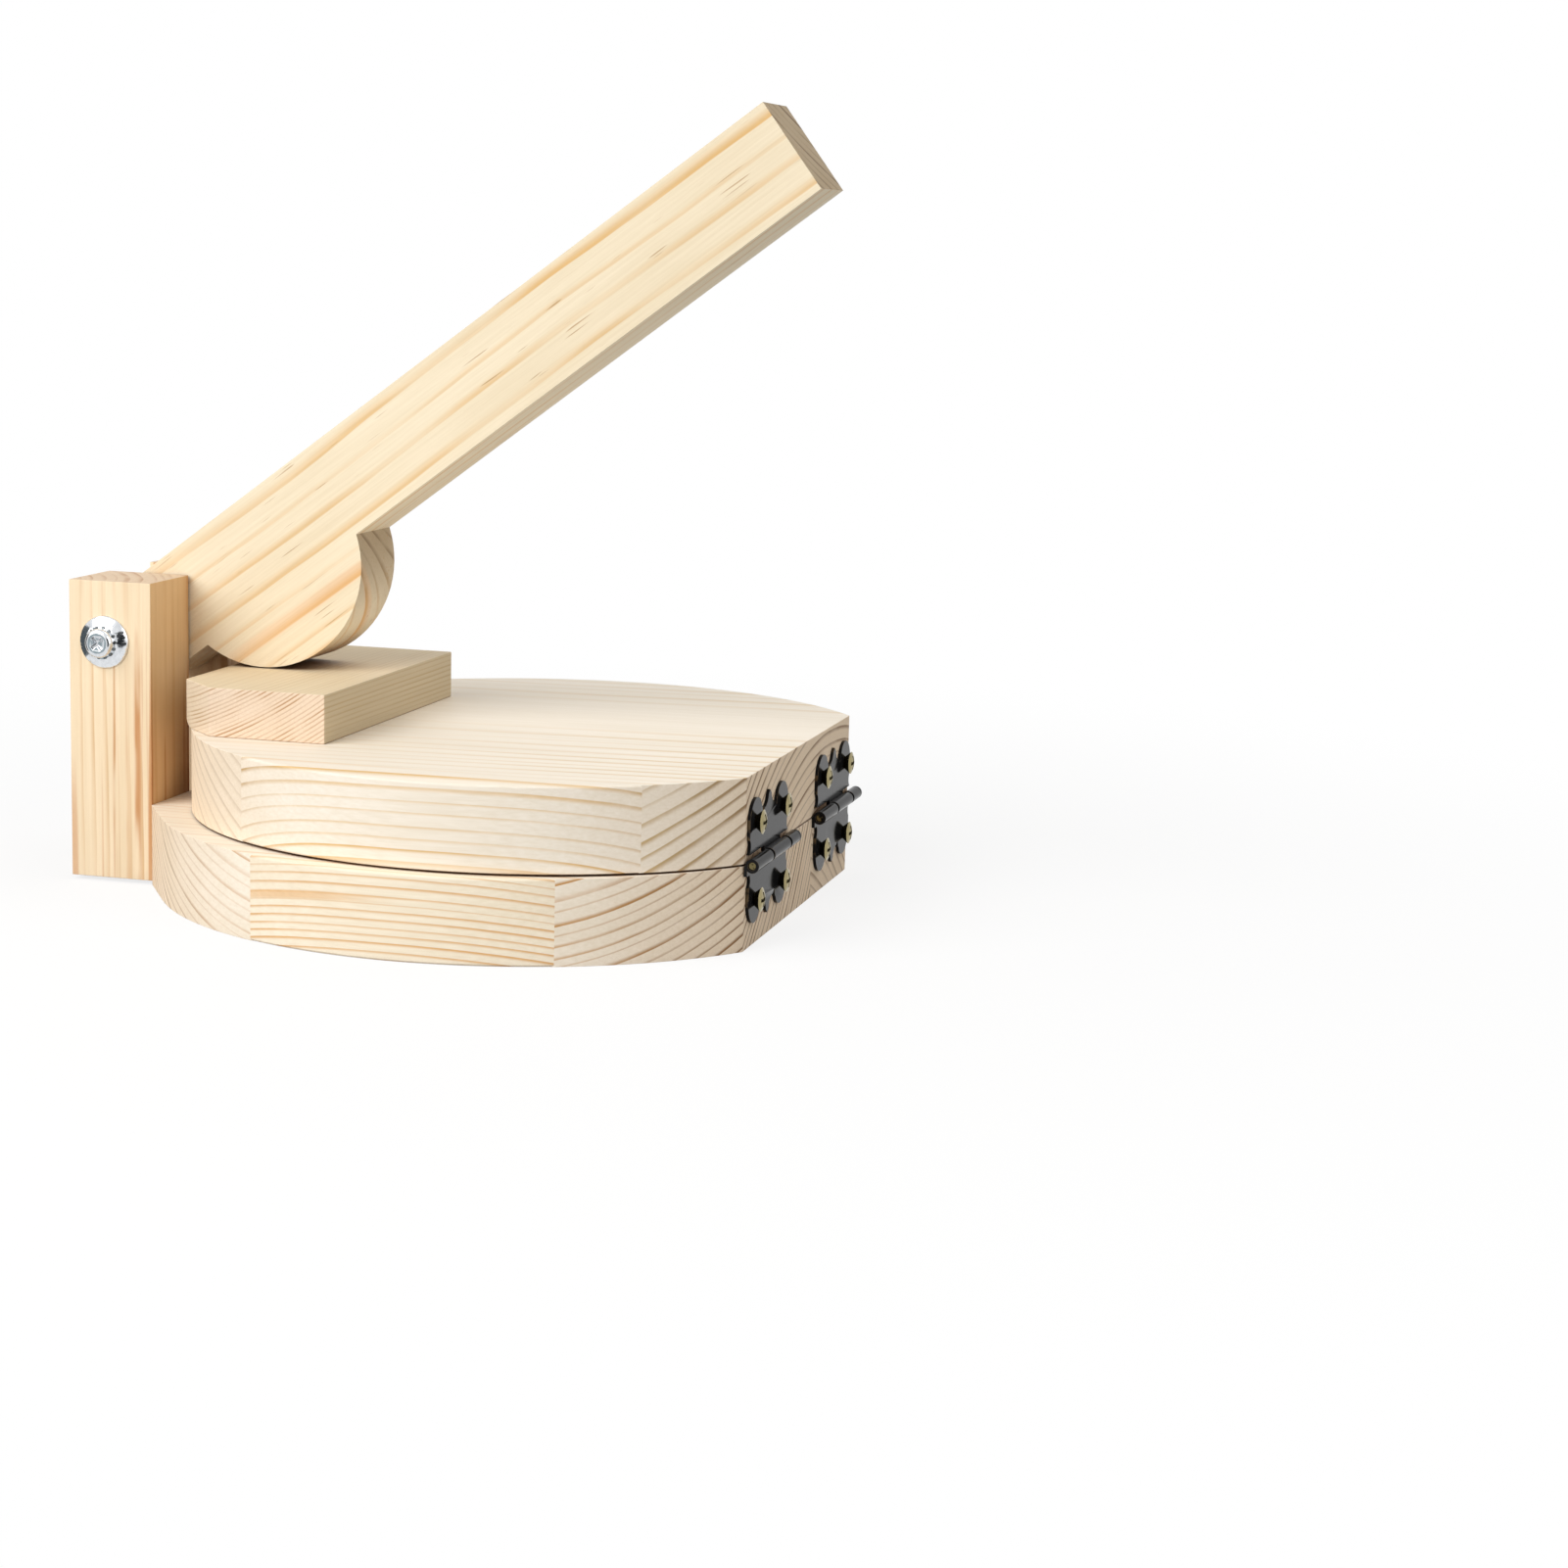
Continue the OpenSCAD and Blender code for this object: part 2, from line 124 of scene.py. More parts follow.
@dataclass
class Recipe:
    """Writes nodes into one shader tree, so that a finish reads as a sum.

    Args:
        tree: The node tree of a material, a world or a group.
    """

    tree: bpy.types.NodeTree

    @classmethod
    def anew(cls, owner: bpy.types.Material | bpy.types.World) -> "Recipe":
        """Empties the node tree of a material or a world.

        Args:
            owner: The material or the world.

        Returns:
            The recipe of its empty tree.
        """
        owner.use_nodes = True
        owner.node_tree.nodes.clear()
        return cls(owner.node_tree)

    def add(self, kind: str, *values: Fed | None, **settings: object) -> bpy.types.Node:
        """Adds one node.

        Args:
            kind: The node's type name.
            values: What feeds its inputs, in their order; None leaves one as it is.
            settings: The node's own properties.

        Returns:
            The new node.
        """
        node = self.tree.nodes.new(kind)
        for name, setting in settings.items():
            setattr(node, name, setting)
        for socket, value in zip(node.inputs, values):
            if value is not None:
                self.feed(socket, value)
        return node

    def feed(self, socket: Socket, value: Fed) -> None:
        """Links a socket to an input, or writes a constant there.

        Args:
            socket: The input.
            value: The socket or the constant.
        """
        if isinstance(value, Socket):
            self.tree.links.new(value, socket)
        else:
            socket.default_value = value

    def sum(self, operation: str, *values: Fed, clamp: bool = False) -> Socket:
        """Adds a Math node and returns its result, kept from 0 to 1 by clamp."""
        return self.add("ShaderNodeMath", *values, operation=operation, use_clamp=clamp).outputs[0]

    def product(self, *values: Fed) -> Socket:
        """Multiplies the values, from left to right."""
        return reduce(lambda first, second: self.sum("MULTIPLY", first, second), values)

    def rest(self, value: Fed) -> Socket:
        """Returns what the value leaves of 1."""
        return self.sum("SUBTRACT", 1.0, value)

    def vector(self, operation: str, *values: Fed) -> Socket:
        """Adds a Vector Math node and returns its vector, or its number for DOT_PRODUCT and LENGTH."""
        node = self.add("ShaderNodeVectorMath", *values, operation=operation)
        return node.outputs[1 if operation in ("DOT_PRODUCT", "LENGTH") else 0]

    def turned(self, normal: Fed, axis: Fed) -> Socket:
        """Measures how squarely a face is turned to an axis, from 0 to 1."""
        return self.sum("ABSOLUTE", self.vector("DOT_PRODUCT", normal, axis))

    def shifted(self, place: Fed, seed: Fed) -> Socket:
        """Moves a place by the seed along each axis."""
        return self.vector("ADD", place, self.add("ShaderNodeCombineXYZ", seed, seed, seed).outputs[0])

    def noise(self, place: Fed, stretch: Triple, detail: float = 2.0, colour: bool = False) -> Socket:
        """Adds soft noise.

        Args:
            place: The vector that it is read at.
            stretch: Waves per unit along each axis.
            detail: How many finer octaves it has.
            colour: Whether to return three independent values in place of one.

        Returns:
            The noise, around 0.5.
        """
        at = self.vector("MULTIPLY", place, stretch)
        node = self.add("ShaderNodeTexNoise", at, noise_dimensions="3D")
        node.inputs["Scale"].default_value = 1.0
        node.inputs["Detail"].default_value = detail
        return node.outputs[1 if colour else 0]

    def ripple(self, place: Fed, stretch: Triple) -> Socket:
        """Adds soft noise that swings around 0."""
        return self.sum("SUBTRACT", self.noise(place, stretch), 0.5)

    def swing(self, place: Fed, stretch: Triple) -> Socket:
        """Adds a smooth vector that swings around 0 on each axis."""
        return self.vector("SUBTRACT", self.noise(place, stretch, 1.0, colour=True), (0.5, 0.5, 0.5))

    def rise(self, value: Fed, low: Fed, high: Fed) -> Socket:
        """Adds a smooth step from 0 at low to 1 at high."""
        return self.add("ShaderNodeMapRange", value, low, high, interpolation_type="SMOOTHSTEP").outputs[0]

    def span(self, value: Fed, low: Fed, high: Fed) -> Socket:
        """Stretches a share from 0 to 1 over the range from low to high."""
        return self.add("ShaderNodeMapRange", value, 0.0, 1.0, low, high).outputs[0]

    def openness(self, reach: Fed, local: bool) -> Socket:
        """Measures how open a place is.

        Args:
            reach: How far away a face still counts.
            local: Whether only the piece's own faces count.

        Returns:
            From 0 in a closed corner to 1 on an open face.
        """
        node = self.add("ShaderNodeAmbientOcclusion", samples=6, only_local=local)
        self.feed(node.inputs["Distance"], reach)
        return node.outputs["AO"]

    def mix(self, share: Fed, first: Fed, second: Fed, mode: str = "MIX") -> Socket:
        """Adds a colour mix.

        Args:
            share: How much of the second colour shows, from 0 to 1.
            first: The colour underneath.
            second: The colour laid over it.
            mode: The blend type.

        Returns:
            The mixed colour.
        """
        node = self.add("ShaderNodeMix", data_type="RGBA", blend_type=mode)
        for index, value in ((0, share), (6, first), (7, second)):
            self.feed(node.inputs[index], value)
        return node.outputs[2]

    def tinted(self, colour: Fed, tint: Fed) -> Socket:
        """Multiplies a colour by a tint."""
        return self.mix(1.0, colour, tint, "MULTIPLY")


class Group:
    """A shader node group with named inputs and outputs, built the first time it is placed."""

    title: ClassVar[str]
    takes: ClassVar[Mapping[str, Fed]]
    gives: ClassVar[Sequence[str]]

    @classmethod
    def recipe(cls, r: Recipe, given: Sockets) -> Sockets:
        """Writes the group's nodes.

        Args:
            r: The recipe of the group's tree.
            given: The group's inputs by name.

        Returns:
            The sockets that feed the outputs, by name.
        """
        raise NotImplementedError

    @classmethod
    def tree(cls) -> bpy.types.NodeTree:
        """Builds the group's tree, once.

        Returns:
            The tree.
        """
        if cls.title in bpy.data.node_groups:
            return bpy.data.node_groups[cls.title]
        tree = bpy.data.node_groups.new(cls.title, "ShaderNodeTree")
        for name, default in cls.takes.items():
            length = len(default) if isinstance(default, tuple) else 1
            kind = {1: "NodeSocketFloat", 3: "NodeSocketVector", 4: "NodeSocketColor"}[length]
            socket = tree.interface.new_socket(name=name, in_out="INPUT", socket_type=kind)
            socket.default_value = default
        for name in cls.gives:
            kind = "NodeSocketColor" if name.endswith("Color") else "NodeSocketFloat"
            tree.interface.new_socket(name=name, in_out="OUTPUT", socket_type=kind)
        r = Recipe(tree)
        entry, leave = r.add("NodeGroupInput"), r.add("NodeGroupOutput")
        made = cls.recipe(r, {name: entry.outputs[name] for name in cls.takes})
        for name in cls.gives:
            r.feed(leave.inputs[name], made[name])
        return tree

    @classmethod
    def place(cls, r: Recipe, values: Mapping[str, Fed]) -> Sockets:
        """Places the group in a tree.

        Args:
            r: The recipe of the tree that it goes into.
            values: What feeds its inputs, by name.

        Returns:
            The group's outputs.
        """
        node = r.add("ShaderNodeGroup", node_tree=cls.tree())
        for name, value in values.items():
            r.feed(node.inputs[name], value)
        return node.outputs


class GrowthRings(Group):
    """Growth rings round a pith: pale early wood that darkens to a line of late wood and stops short.

    Its waves are counted per millimetre, and its sway is in millimetres.
    """

    title = "growth_rings"
    takes = {
        "Grain": (0.0, 0.0, 0.0),
        "Spacing": 2.5,
        "Unevenness": 1.0,
        "Waviness": 1.0,
        "Line Start": 0.5,
        "Band Radius": 0.0,
        "Band Width": 0.0,
        "Seed": 0.0,
    }
    gives = ("Line", "Level", "Band")
    long_waves: ClassVar[Triple] = (0.011, 0.03, 0.03)
    short_waves: ClassVar[Triple] = (0.05, 0.12, 0.12)
    short_share: ClassVar[float] = 0.16
    sway: ClassVar[float] = 4.0
    drift_pace: ClassVar[float] = 0.13
    drift_rings: ClassVar[float] = 5.0
    start_spread: ClassVar[float] = -0.22
    line_end: ClassVar[Pair] = (0.93, 0.94)
    band_core: ClassVar[float] = 0.45

    @classmethod
    def recipe(cls, r: Recipe, given: Sockets) -> Sockets:
        """Writes rings of uneven width and depth, and one heavy band.

        Args:
            r: The recipe of the group's tree.
            given: The group's inputs by name.

        Returns:
            The sockets that feed the outputs, by name.
        """
        seed = given["Seed"]
        place = r.shifted(given["Grain"], seed)
        tremble = r.vector("MULTIPLY", r.swing(place, cls.short_waves), (cls.short_share,) * 3)
        bend = r.vector("SCALE", r.vector("ADD", r.swing(place, cls.long_waves), tremble))
        r.feed(bend.node.inputs["Scale"], r.product(given["Waviness"], cls.sway))
        moved = r.vector("MULTIPLY", r.vector("ADD", given["Grain"], bend), (0.0, 1.0, 1.0))
        radius = r.vector("LENGTH", moved)
        turn = r.add("ShaderNodeCombineXYZ", r.product(radius, cls.drift_pace), seed, 0.0).outputs[0]
        drift = r.product(r.ripple(turn, (1.0, 1.0, 1.0)), given["Unevenness"])
        ring = r.sum("MULTIPLY_ADD", drift, cls.drift_rings, r.sum("DIVIDE", radius, given["Spacing"]))
        share = r.sum("FRACT", ring)
        number = r.sum("ADD", r.sum("FLOOR", ring), seed)
        level = r.add("ShaderNodeTexWhiteNoise", None, number, noise_dimensions="1D").outputs[0]
        start = r.sum("MULTIPLY_ADD", r.sum("SUBTRACT", level, 0.5), cls.start_spread, given["Line Start"])
        full, gone = cls.line_end
        line = r.product(r.rise(share, start, full), r.rest(r.rise(share, gone, 1.0)))
        off = r.sum("ABSOLUTE", r.sum("SUBTRACT", radius, given["Band Radius"]))
        half = r.product(given["Band Width"], 0.5)
        band = r.rest(r.rise(off, r.product(half, cls.band_core), half))
        return {"Line": line, "Level": level, "Band": band}


class PineGrain(Group):
    """Planed pine: growth rings, fibres, resin dashes, a darker, rougher end grain, and painted light and
    shade.

    Each of its masks has its waves per millimetre along and across the fibres, its octaves, and the
    noise at which it starts and is full. Each of its ripples has its waves alone.
    """

    title = "pine_grain"
    takes = {
        **GrowthRings.takes,
        "Facing": (0.0, 0.0, 1.0),
        "Fibre": (1.0, 0.0, 0.0),
        "Early Color": (0.9, 0.8, 0.6, 1.0),
        "Late Color": (0.7, 0.5, 0.3, 1.0),
        "End Early Color": (0.8, 0.7, 0.5, 1.0),
        "End Late Color": (0.4, 0.3, 0.2, 1.0),
        "Band Color": (0.7, 0.5, 0.3, 1.0),
        "Streak Color": (0.6, 0.3, 0.1, 1.0),
        "Flank Color": WHITE,
        "Contrast": 0.6,
        "Top Share": 1.0,
        "Patchiness": 0.3,
        "Streaks": 0.0,
        "End Start": 0.35,
        "Fade From": 0.0,
        "Fade To": 0.0,
        "Band Strength": 0.0,
        "Tone": 0.08,
        "Dashes": 0.0,
        "Crevice": 0.009,
    }
    gives = ("Color", "Roughness", "Height")
    masks: ClassVar[Mapping[str, tuple[float, ...]]] = {
        "patch": (0.018, 0.1, 1.0, 0.36, 0.6),
        "length": (0.012, 0.02, 1.0, 0.36, 0.56),
        "streak": (0.006, 0.5, 2.0, 0.54, 0.7),
        "broken": (0.03, 0.2, 2.0, 0.38, 0.6),
        "dash": (0.075, 1.7, 0.0, 0.735, 0.8),
        "flock": (0.02, 0.06, 1.0, 0.42, 0.6),
    }
    ripples: ClassVar[Mapping[str, Triple]] = {
        "slow": (0.012, 0.07, 0.07),
        "fibres": (0.035, 1.5, 1.5),
        "pores": (0.4, 2.6, 2.6),
    }
    end_full: ClassVar[float] = 0.97
    fade_reach: ClassVar[float] = 60.0
    square_on: ClassVar[Pair] = (0.6, 0.95)
    warming: ClassVar[Pair] = (1.25, 1.8)
    crevice_shade_at: ClassVar[Pair] = (0.04, 0.42)
    resin: ClassVar[Tint] = (186, 148, 100)
    shadow: ClassVar[Tint] = (148, 112, 80)

    @classmethod
    def recipe(cls, r: Recipe, given: Sockets) -> Sockets:
        """Writes the wood's colour, roughness and height.

        Args:
            r: The recipe of the group's tree.
            given: The group's inputs by name.

        Returns:
            The sockets that feed the outputs, by name.
        """
        facing = given["Facing"]
        place = r.shifted(given["Grain"], given["Seed"])

        def mask(name: str) -> Socket:
            """Adds one of the masks, from 0 to 1."""
            along, across, detail, low, high = cls.masks[name]
            return r.rise(r.noise(place, (along, across, across), detail), low, high)

        rings = GrowthRings.place(r, {name: given[name] for name in GrowthRings.takes})
        end = r.rise(r.turned(facing, given["Fibre"]), given["End Start"], cls.end_full)
        along = r.add("ShaderNodeSeparateXYZ", given["Grain"]).outputs[0]
        # Painted light: the lines weaken toward one end of the fibres, standing in for lines washed out where
        # the light is strongest.
        highlight_fade = r.span(r.rise(along, -cls.fade_reach, cls.fade_reach), given["Fade From"], given["Fade To"])

        early = r.mix(end, given["Early Color"], given["End Early Color"])
        late = r.mix(end, given["Late Color"], given["End Late Color"])
        lying = r.rise(r.turned(facing, (0.0, 0.0, 1.0)), *cls.square_on)
        lying = r.span(lying, 1.0, given["Top Share"])
        patch = r.span(mask("patch"), r.rest(given["Patchiness"]), 1.0)
        depth = r.product(r.product(given["Contrast"], highlight_fade), r.product(lying, patch))
        depth = r.product(r.span(rings["Level"], 0.5, 1.35), depth)
        colour = r.mix(r.sum("MULTIPLY", rings["Line"], depth, clamp=True), early, late)

        band = r.product(rings["Band"], given["Band Strength"], mask("length"), r.span(end, 1.0, 0.25))
        colour = r.mix(band, colour, given["Band Color"])
        streak = r.product(mask("streak"), mask("broken"), r.span(end, given["Streaks"], 0.0))
        colour = r.mix(streak, colour, given["Streak Color"])

        slow, fibres, pores = (r.ripple(place, stretch) for stretch in cls.ripples.values())
        shade = r.sum("MULTIPLY_ADD", slow, r.product(given["Tone"], 2.0), 1.0)
        shade = r.sum("MULTIPLY_ADD", fibres, r.span(end, 0.16, 0.1), shade)
        shade = r.sum("MULTIPLY_ADD", pores, r.span(end, 0.03, 0.2), shade)
        warmer = (r.sum("POWER", shade, power) for power in cls.warming)
        colour = r.tinted(colour, r.add("ShaderNodeCombineColor", shade, *warmer).outputs[0])
        # Painted shade: faces turned to the X axis are tinted darker by the side shade colour.
        side_shade_mask = r.rise(r.turned(facing, (1.0, 0.0, 0.0)), *cls.square_on)
        colour = r.mix(side_shade_mask, colour, r.tinted(colour, given["Flank Color"]))
        dash = r.product(mask("dash"), mask("flock"), given["Dashes"])
        colour = r.mix(dash, colour, paint(cls.resin))
        # Painted shade: the colour darkens toward the shadow tint where other faces are near, in gaps,
        # corners and under the lever.
        crevice_shade = r.rest(r.rise(r.openness(given["Crevice"], local=False), *cls.crevice_shade_at))
        colour = r.mix(crevice_shade, colour, r.tinted(colour, paint(cls.shadow)))

        rough = r.sum("MULTIPLY_ADD", fibres, 0.25, r.span(end, 0.56, 0.72))
        height = r.sum("MULTIPLY_ADD", pores, r.span(end, 0.15, 0.7), r.product(rings["Line"], -0.3))
        height = r.sum("MULTIPLY_ADD", fibres, 0.9, height)
        return {"Color": colour, "Roughness": rough, "Height": height}


class PlateWear(Group):
    """Plated metal: faint scratches, cloudy patches, and dirt with painted shade in corners."""

    title = "plate_wear"
    takes = {
        "Place": (0.0, 0.0, 0.0),
        "Metal Color": (0.6, 0.6, 0.6, 1.0),
        "Dirt Color": (0.1, 0.1, 0.1, 1.0),
        "Polish": 0.25,
        "Dirt": 0.5,
        "Reach": 0.001,
    }
    gives = ("Color", "Roughness", "Height")
    cloud_waves: ClassVar[Triple] = (700.0, 700.0, 700.0)
    scratch_waves: ClassVar[Triple] = (500.0, 4000.0, 2600.0)
    cloud_tint: ClassVar[Paint] = (0.85, 0.85, 0.86, 1.0)

    @classmethod
    def recipe(cls, r: Recipe, given: Sockets) -> Sockets:
        """Writes the metal's colour, roughness and height.

        Args:
            r: The recipe of the group's tree.
            given: The group's inputs by name.

        Returns:
            The sockets that feed the outputs, by name.
        """
        cloud = r.noise(given["Place"], cls.cloud_waves, 3.0)
        scratch = r.noise(given["Place"], cls.scratch_waves)
        # Dirt together with painted shade: the colour darkens where the piece's own faces close in, as in the
        # screws' cross recesses.
        corner = r.rest(r.rise(r.openness(given["Reach"], local=True), 0.3, 0.9))
        grime_and_shade_share = r.product(corner, given["Dirt"])
        clouded = r.mix(r.rise(cloud, 0.35, 0.75), given["Metal Color"], cls.cloud_tint, "MULTIPLY")
        colour = r.mix(grime_and_shade_share, clouded, given["Dirt Color"])
        rough = r.sum("MULTIPLY_ADD", r.sum("SUBTRACT", cloud, 0.5), 0.15, given["Polish"])
        rough = r.sum("MULTIPLY_ADD", grime_and_shade_share, 0.35, rough)
        return {"Color": colour, "Roughness": rough, "Height": scratch}


class LacquerWear(Group):
    """Black lacquer on steel: worn through to warm metal on its edges, dull and dusty on its flats."""

    title = "lacquer_wear"
    takes = {
        "Place": (0.0, 0.0, 0.0),
        "Edge": 0.0,
        "Lacquer Color": (0.02, 0.02, 0.02, 1.0),
        "Bare Color": (0.4, 0.3, 0.2, 1.0),
        "Wear": 0.5,
        "Polish": 0.3,
    }
    gives = ("Color", "Metal", "Roughness", "Height")
    patch_waves: ClassVar[Triple] = (420.0, 420.0, 420.0)
    chip_waves: ClassVar[Triple] = (900.0, 900.0, 900.0)
    peel_waves: ClassVar[Triple] = (1500.0, 1500.0, 1500.0)
    dust_tint: ClassVar[Paint] = (1.5, 1.5, 1.5, 1.0)

    @classmethod
    def recipe(cls, r: Recipe, given: Sockets) -> Sockets:
        """Writes the colour, how bare the metal is, the roughness and the height.

        Args:
            r: The recipe of the group's tree.
            given: The group's inputs by name.

        Returns:
            The sockets that feed the outputs, by name.
        """
        patch = r.noise(given["Place"], cls.patch_waves, 3.0)
        rubbed = r.product(r.rise(patch, 0.42, 0.6), given["Edge"])
        chip = r.product(r.rise(r.noise(given["Place"], cls.chip_waves), 0.72, 0.78), 0.5)
        bare = r.product(r.sum("MAXIMUM", rubbed, chip), given["Wear"])
        dust = r.mix(r.rise(patch, 0.3, 0.8), given["Lacquer Color"], cls.dust_tint, "MULTIPLY")
        orange_peel = r.noise(given["Place"], cls.peel_waves, 1.0)
        return {
            "Color": r.mix(bare, dust, given["Bare Color"]),
            "Metal": bare,
            "Roughness": r.sum("MULTIPLY_ADD", r.sum("SUBTRACT", patch, 0.5), 0.16, given["Polish"]),
            "Height": r.sum("SUBTRACT", orange_peel, bare),
        }


# Finishes


@dataclass(frozen=True)
class Finish:
    """A material: a Principled shader that one group feeds.

    The group's inputs take this finish's fields of the same names. The relief is the depth of the
    group's height in millimetres and how much of it shows, and fixed holds the shader's constants.

    Args:
        title: The material's name.
        slot: The record's material slot; not used.
    """

    title: str
    slot: Slot
    group: ClassVar[type[Group]]
    relief: ClassVar[Pair]
    fixed: ClassVar[Mapping[str, float]]

    def given(self, r: Recipe) -> dict[str, Fed]:
        """Names the group's inputs that aren't plain fields.

        Args:
            r: The recipe of the material's tree.

        Returns:
            What feeds them, by name.
        """
        raise NotImplementedError

    def material(self) -> bpy.types.Material:
        """Builds the material, once.

        Returns:
            The finished material.
        """
        known = bpy.data.materials.get(self.title)
        if known is not None:
            return known
        made = bpy.data.materials.new(self.title)
        r = Recipe.anew(made)
        given = self.given(r)
        for name in self.group.takes:
            if name not in given:
                value = getattr(self, name.removesuffix(" Color").replace(" ", "_").lower())
                given[name] = paint(value) if name.endswith("Color") else value
        look = self.group.place(r, given)
        bump, shader = r.add("ShaderNodeBump"), r.add("ShaderNodeBsdfPrincipled")
        depth, strength = self.relief
        bump.inputs["Strength"].default_value = strength
        bump.inputs["Distance"].default_value = depth * MM
        r.feed(bump.inputs["Height"], look["Height"])
        r.feed(shader.inputs["Normal"], bump.outputs[0])
        for name, output in (("Base Color", "Color"), ("Metallic", "Metal"), ("Roughness", "Roughness")):
            if output in self.group.gives:
                r.feed(shader.inputs[name], look[output])
        for name, value in self.fixed.items():
            r.feed(shader.inputs[name], value)
        r.feed(r.add("ShaderNodeOutputMaterial").inputs["Surface"], shader.outputs[0])
        return made


@dataclass(frozen=True)
class Pine(Finish):
    """Pine as one stave, post or lever shows it.

    Args:
        pith: A point on the tree's centre line.
        fibre: How the fibres lie.
        lean: Small turns of the fibres on top of that, about X, Y and Z.
        spacing: The mean width of a growth ring.
        unevenness: How much the rings' widths vary.
        waviness: How far the rings sway.
        line_start: The share of a ring at which its dark line begins.
        early, late: The pale and the dark wood seen along the fibres.
        end_early, end_late: The same on end grain.
        contrast: How dark the lines are.
        top_share: How much of that shows on faces that lie flat.
        patchiness: How far the lines fade in places.
        streaks, streak: How many broken streaks run along the fibres, and their colour.
        flank: The painted shade that darkens the faces turned to the X axis.
        end_start: How far a face turns to the end before it looks like end grain.
        highlight_fade: The lines' strength at the one end of the fibres and at the other; a weak end is
            painted light, lines washed out where the light is strongest.
        band_radius, band_width, band_strength, band: A heavy band and its colour.
        tone: How much the colour drifts.
        dashes: How many short resin dashes show.
        crevice: How near another face has to be for painted shade to darken this one.
        seed: Which piece of the tree it is.
    """

    pith: Triple = (0.0, 0.0, -80.0)
    fibre: Fibre = Fibre.ALONG_BOARD
    lean: Triple = (0.0, 0.0, 0.0)
    spacing: float = 2.7
    unevenness: float = 0.3
    waviness: float = 0.5
    line_start: float = 0.5
    early: Tint = (249, 239, 223)
    late: Tint = (226, 190, 140)
    end_early: Tint = (238, 216, 188)
    end_late: Tint = (130, 98, 70)
    contrast: float = 0.75
    top_share: float = 1.0
    patchiness: float = 0.3
    streaks: float = 0.0
    streak: Tint = (208, 146, 88)
    flank: Tint = (255, 255, 255)
    end_start: float = 0.3
    highlight_fade: Pair = (1.0, 1.0)
    band_radius: float = 0.0
    band_width: float = 0.0
    band_strength: float = 0.0
    band: Tint = (236, 188, 130)
    tone: float = 0.06
    dashes: float = 0.0
    crevice: float = 9.0
    seed: float = 0.0
    group = PineGrain
    relief = (0.06, 0.5)
    fixed = {"Specular IOR Level": 0.25}

    def given(self, r: Recipe) -> dict[str, Fed]:
        """Places the grain round this piece's pith.

        Args:
            r: The recipe of the material's tree.

        Returns:
            What feeds the inputs that aren't plain fields, by name.
        """
        turn = Euler([math.radians(a + b) for a, b in zip(self.fibre.value, self.lean)])
        place = r.add("ShaderNodeTexCoord")
        grain = r.add("ShaderNodeMapping", place.outputs["Object"], vector_type="TEXTURE")
        grain.inputs["Location"].default_value = [value * MM for value in self.pith]
        grain.inputs["Rotation"].default_value = turn
        grain.inputs["Scale"].default_value = (MM, MM, MM)
        return {
            "Grain": grain.outputs[0],
            "Facing": place.outputs["Normal"],
            "Fibre": tuple(turn.to_matrix() @ Vector((1, 0, 0))),
            "Fade From": self.highlight_fade[0],
            "Fade To": self.highlight_fade[1],
            "Crevice": self.crevice * MM,
        }


@dataclass(frozen=True)
class Plated(Finish):
    """Bright zinc or dull brass.

    Args:
        metal: The metal's colour.
        dirt: The colour that its corners darken to, dirt and painted shade together.
        polish: The roughness of its clean faces.
        grime_and_shade_share: How much its corners darken.
        reach: How wide the darkening reaches from a corner.
    """

    metal: Tint = (228, 231, 234)
    dirt: Tint = (52, 60, 64)
    polish: float = 0.15
    grime_and_shade_share: float = 0.7
    reach: float = 0.7
    group = PlateWear
    relief = (0.01, 0.15)
    fixed = {"Metallic": 1.0}

    def given(self, r: Recipe) -> dict[str, Fed]:
        """Reads the wear at the piece's own coordinates."""
        place = r.add("ShaderNodeTexCoord").outputs["Object"]
        return {"Place": place, "Dirt": self.grime_and_shade_share, "Reach": self.reach * MM}


@dataclass(frozen=True)
class Lacquered(Finish):
    """Black lacquer over steel.

    Args:
        lacquer: The lacquer's colour.
        bare: The metal that shows where it is worn.
        wear: How much of the edges is worn.
        polish: The lacquer's roughness.
    """

    lacquer: Tint = (24, 24, 25)
    bare: Tint = (150, 124, 88)
    wear: float = 0.35
    polish: float = 0.12
    group = LacquerWear
    relief = (0.01, 0.3)
    fixed = {"Specular IOR Level": 0.06}

    def given(self, r: Recipe) -> dict[str, Fed]:
        """Reads the wear at the piece's own coordinates and from the marks on its edges."""
        edge = r.add("ShaderNodeAttribute", attribute_name=EASED).outputs["Fac"]
        return {"Place": r.add("ShaderNodeTexCoord").outputs["Object"], "Edge": edge}


ZINC = Plated("bright_zinc", Slot.ZINC)
DULL_ZINC = Plated("dull_zinc", Slot.ZINC, metal=(120, 124, 126), polish=0.3)
# The brass's near-black corner colour paints shade into the screws' cross recesses.
BRASS = Plated("dull_brass", Slot.BRASS, metal=(158, 146, 106), dirt=(20, 16, 10), grime_and_shade_share=1.0, reach=1.8)
LACQUER = Lacquered("black_lacquer", Slot.IRON)
WORN_PIN = Lacquered("worn_pin", Slot.IRON, bare=(112, 102, 70), wear=1.0)


# Workbench


def never(start: Vector, end: Vector) -> bool:
    """Spares no edge."""
    return False


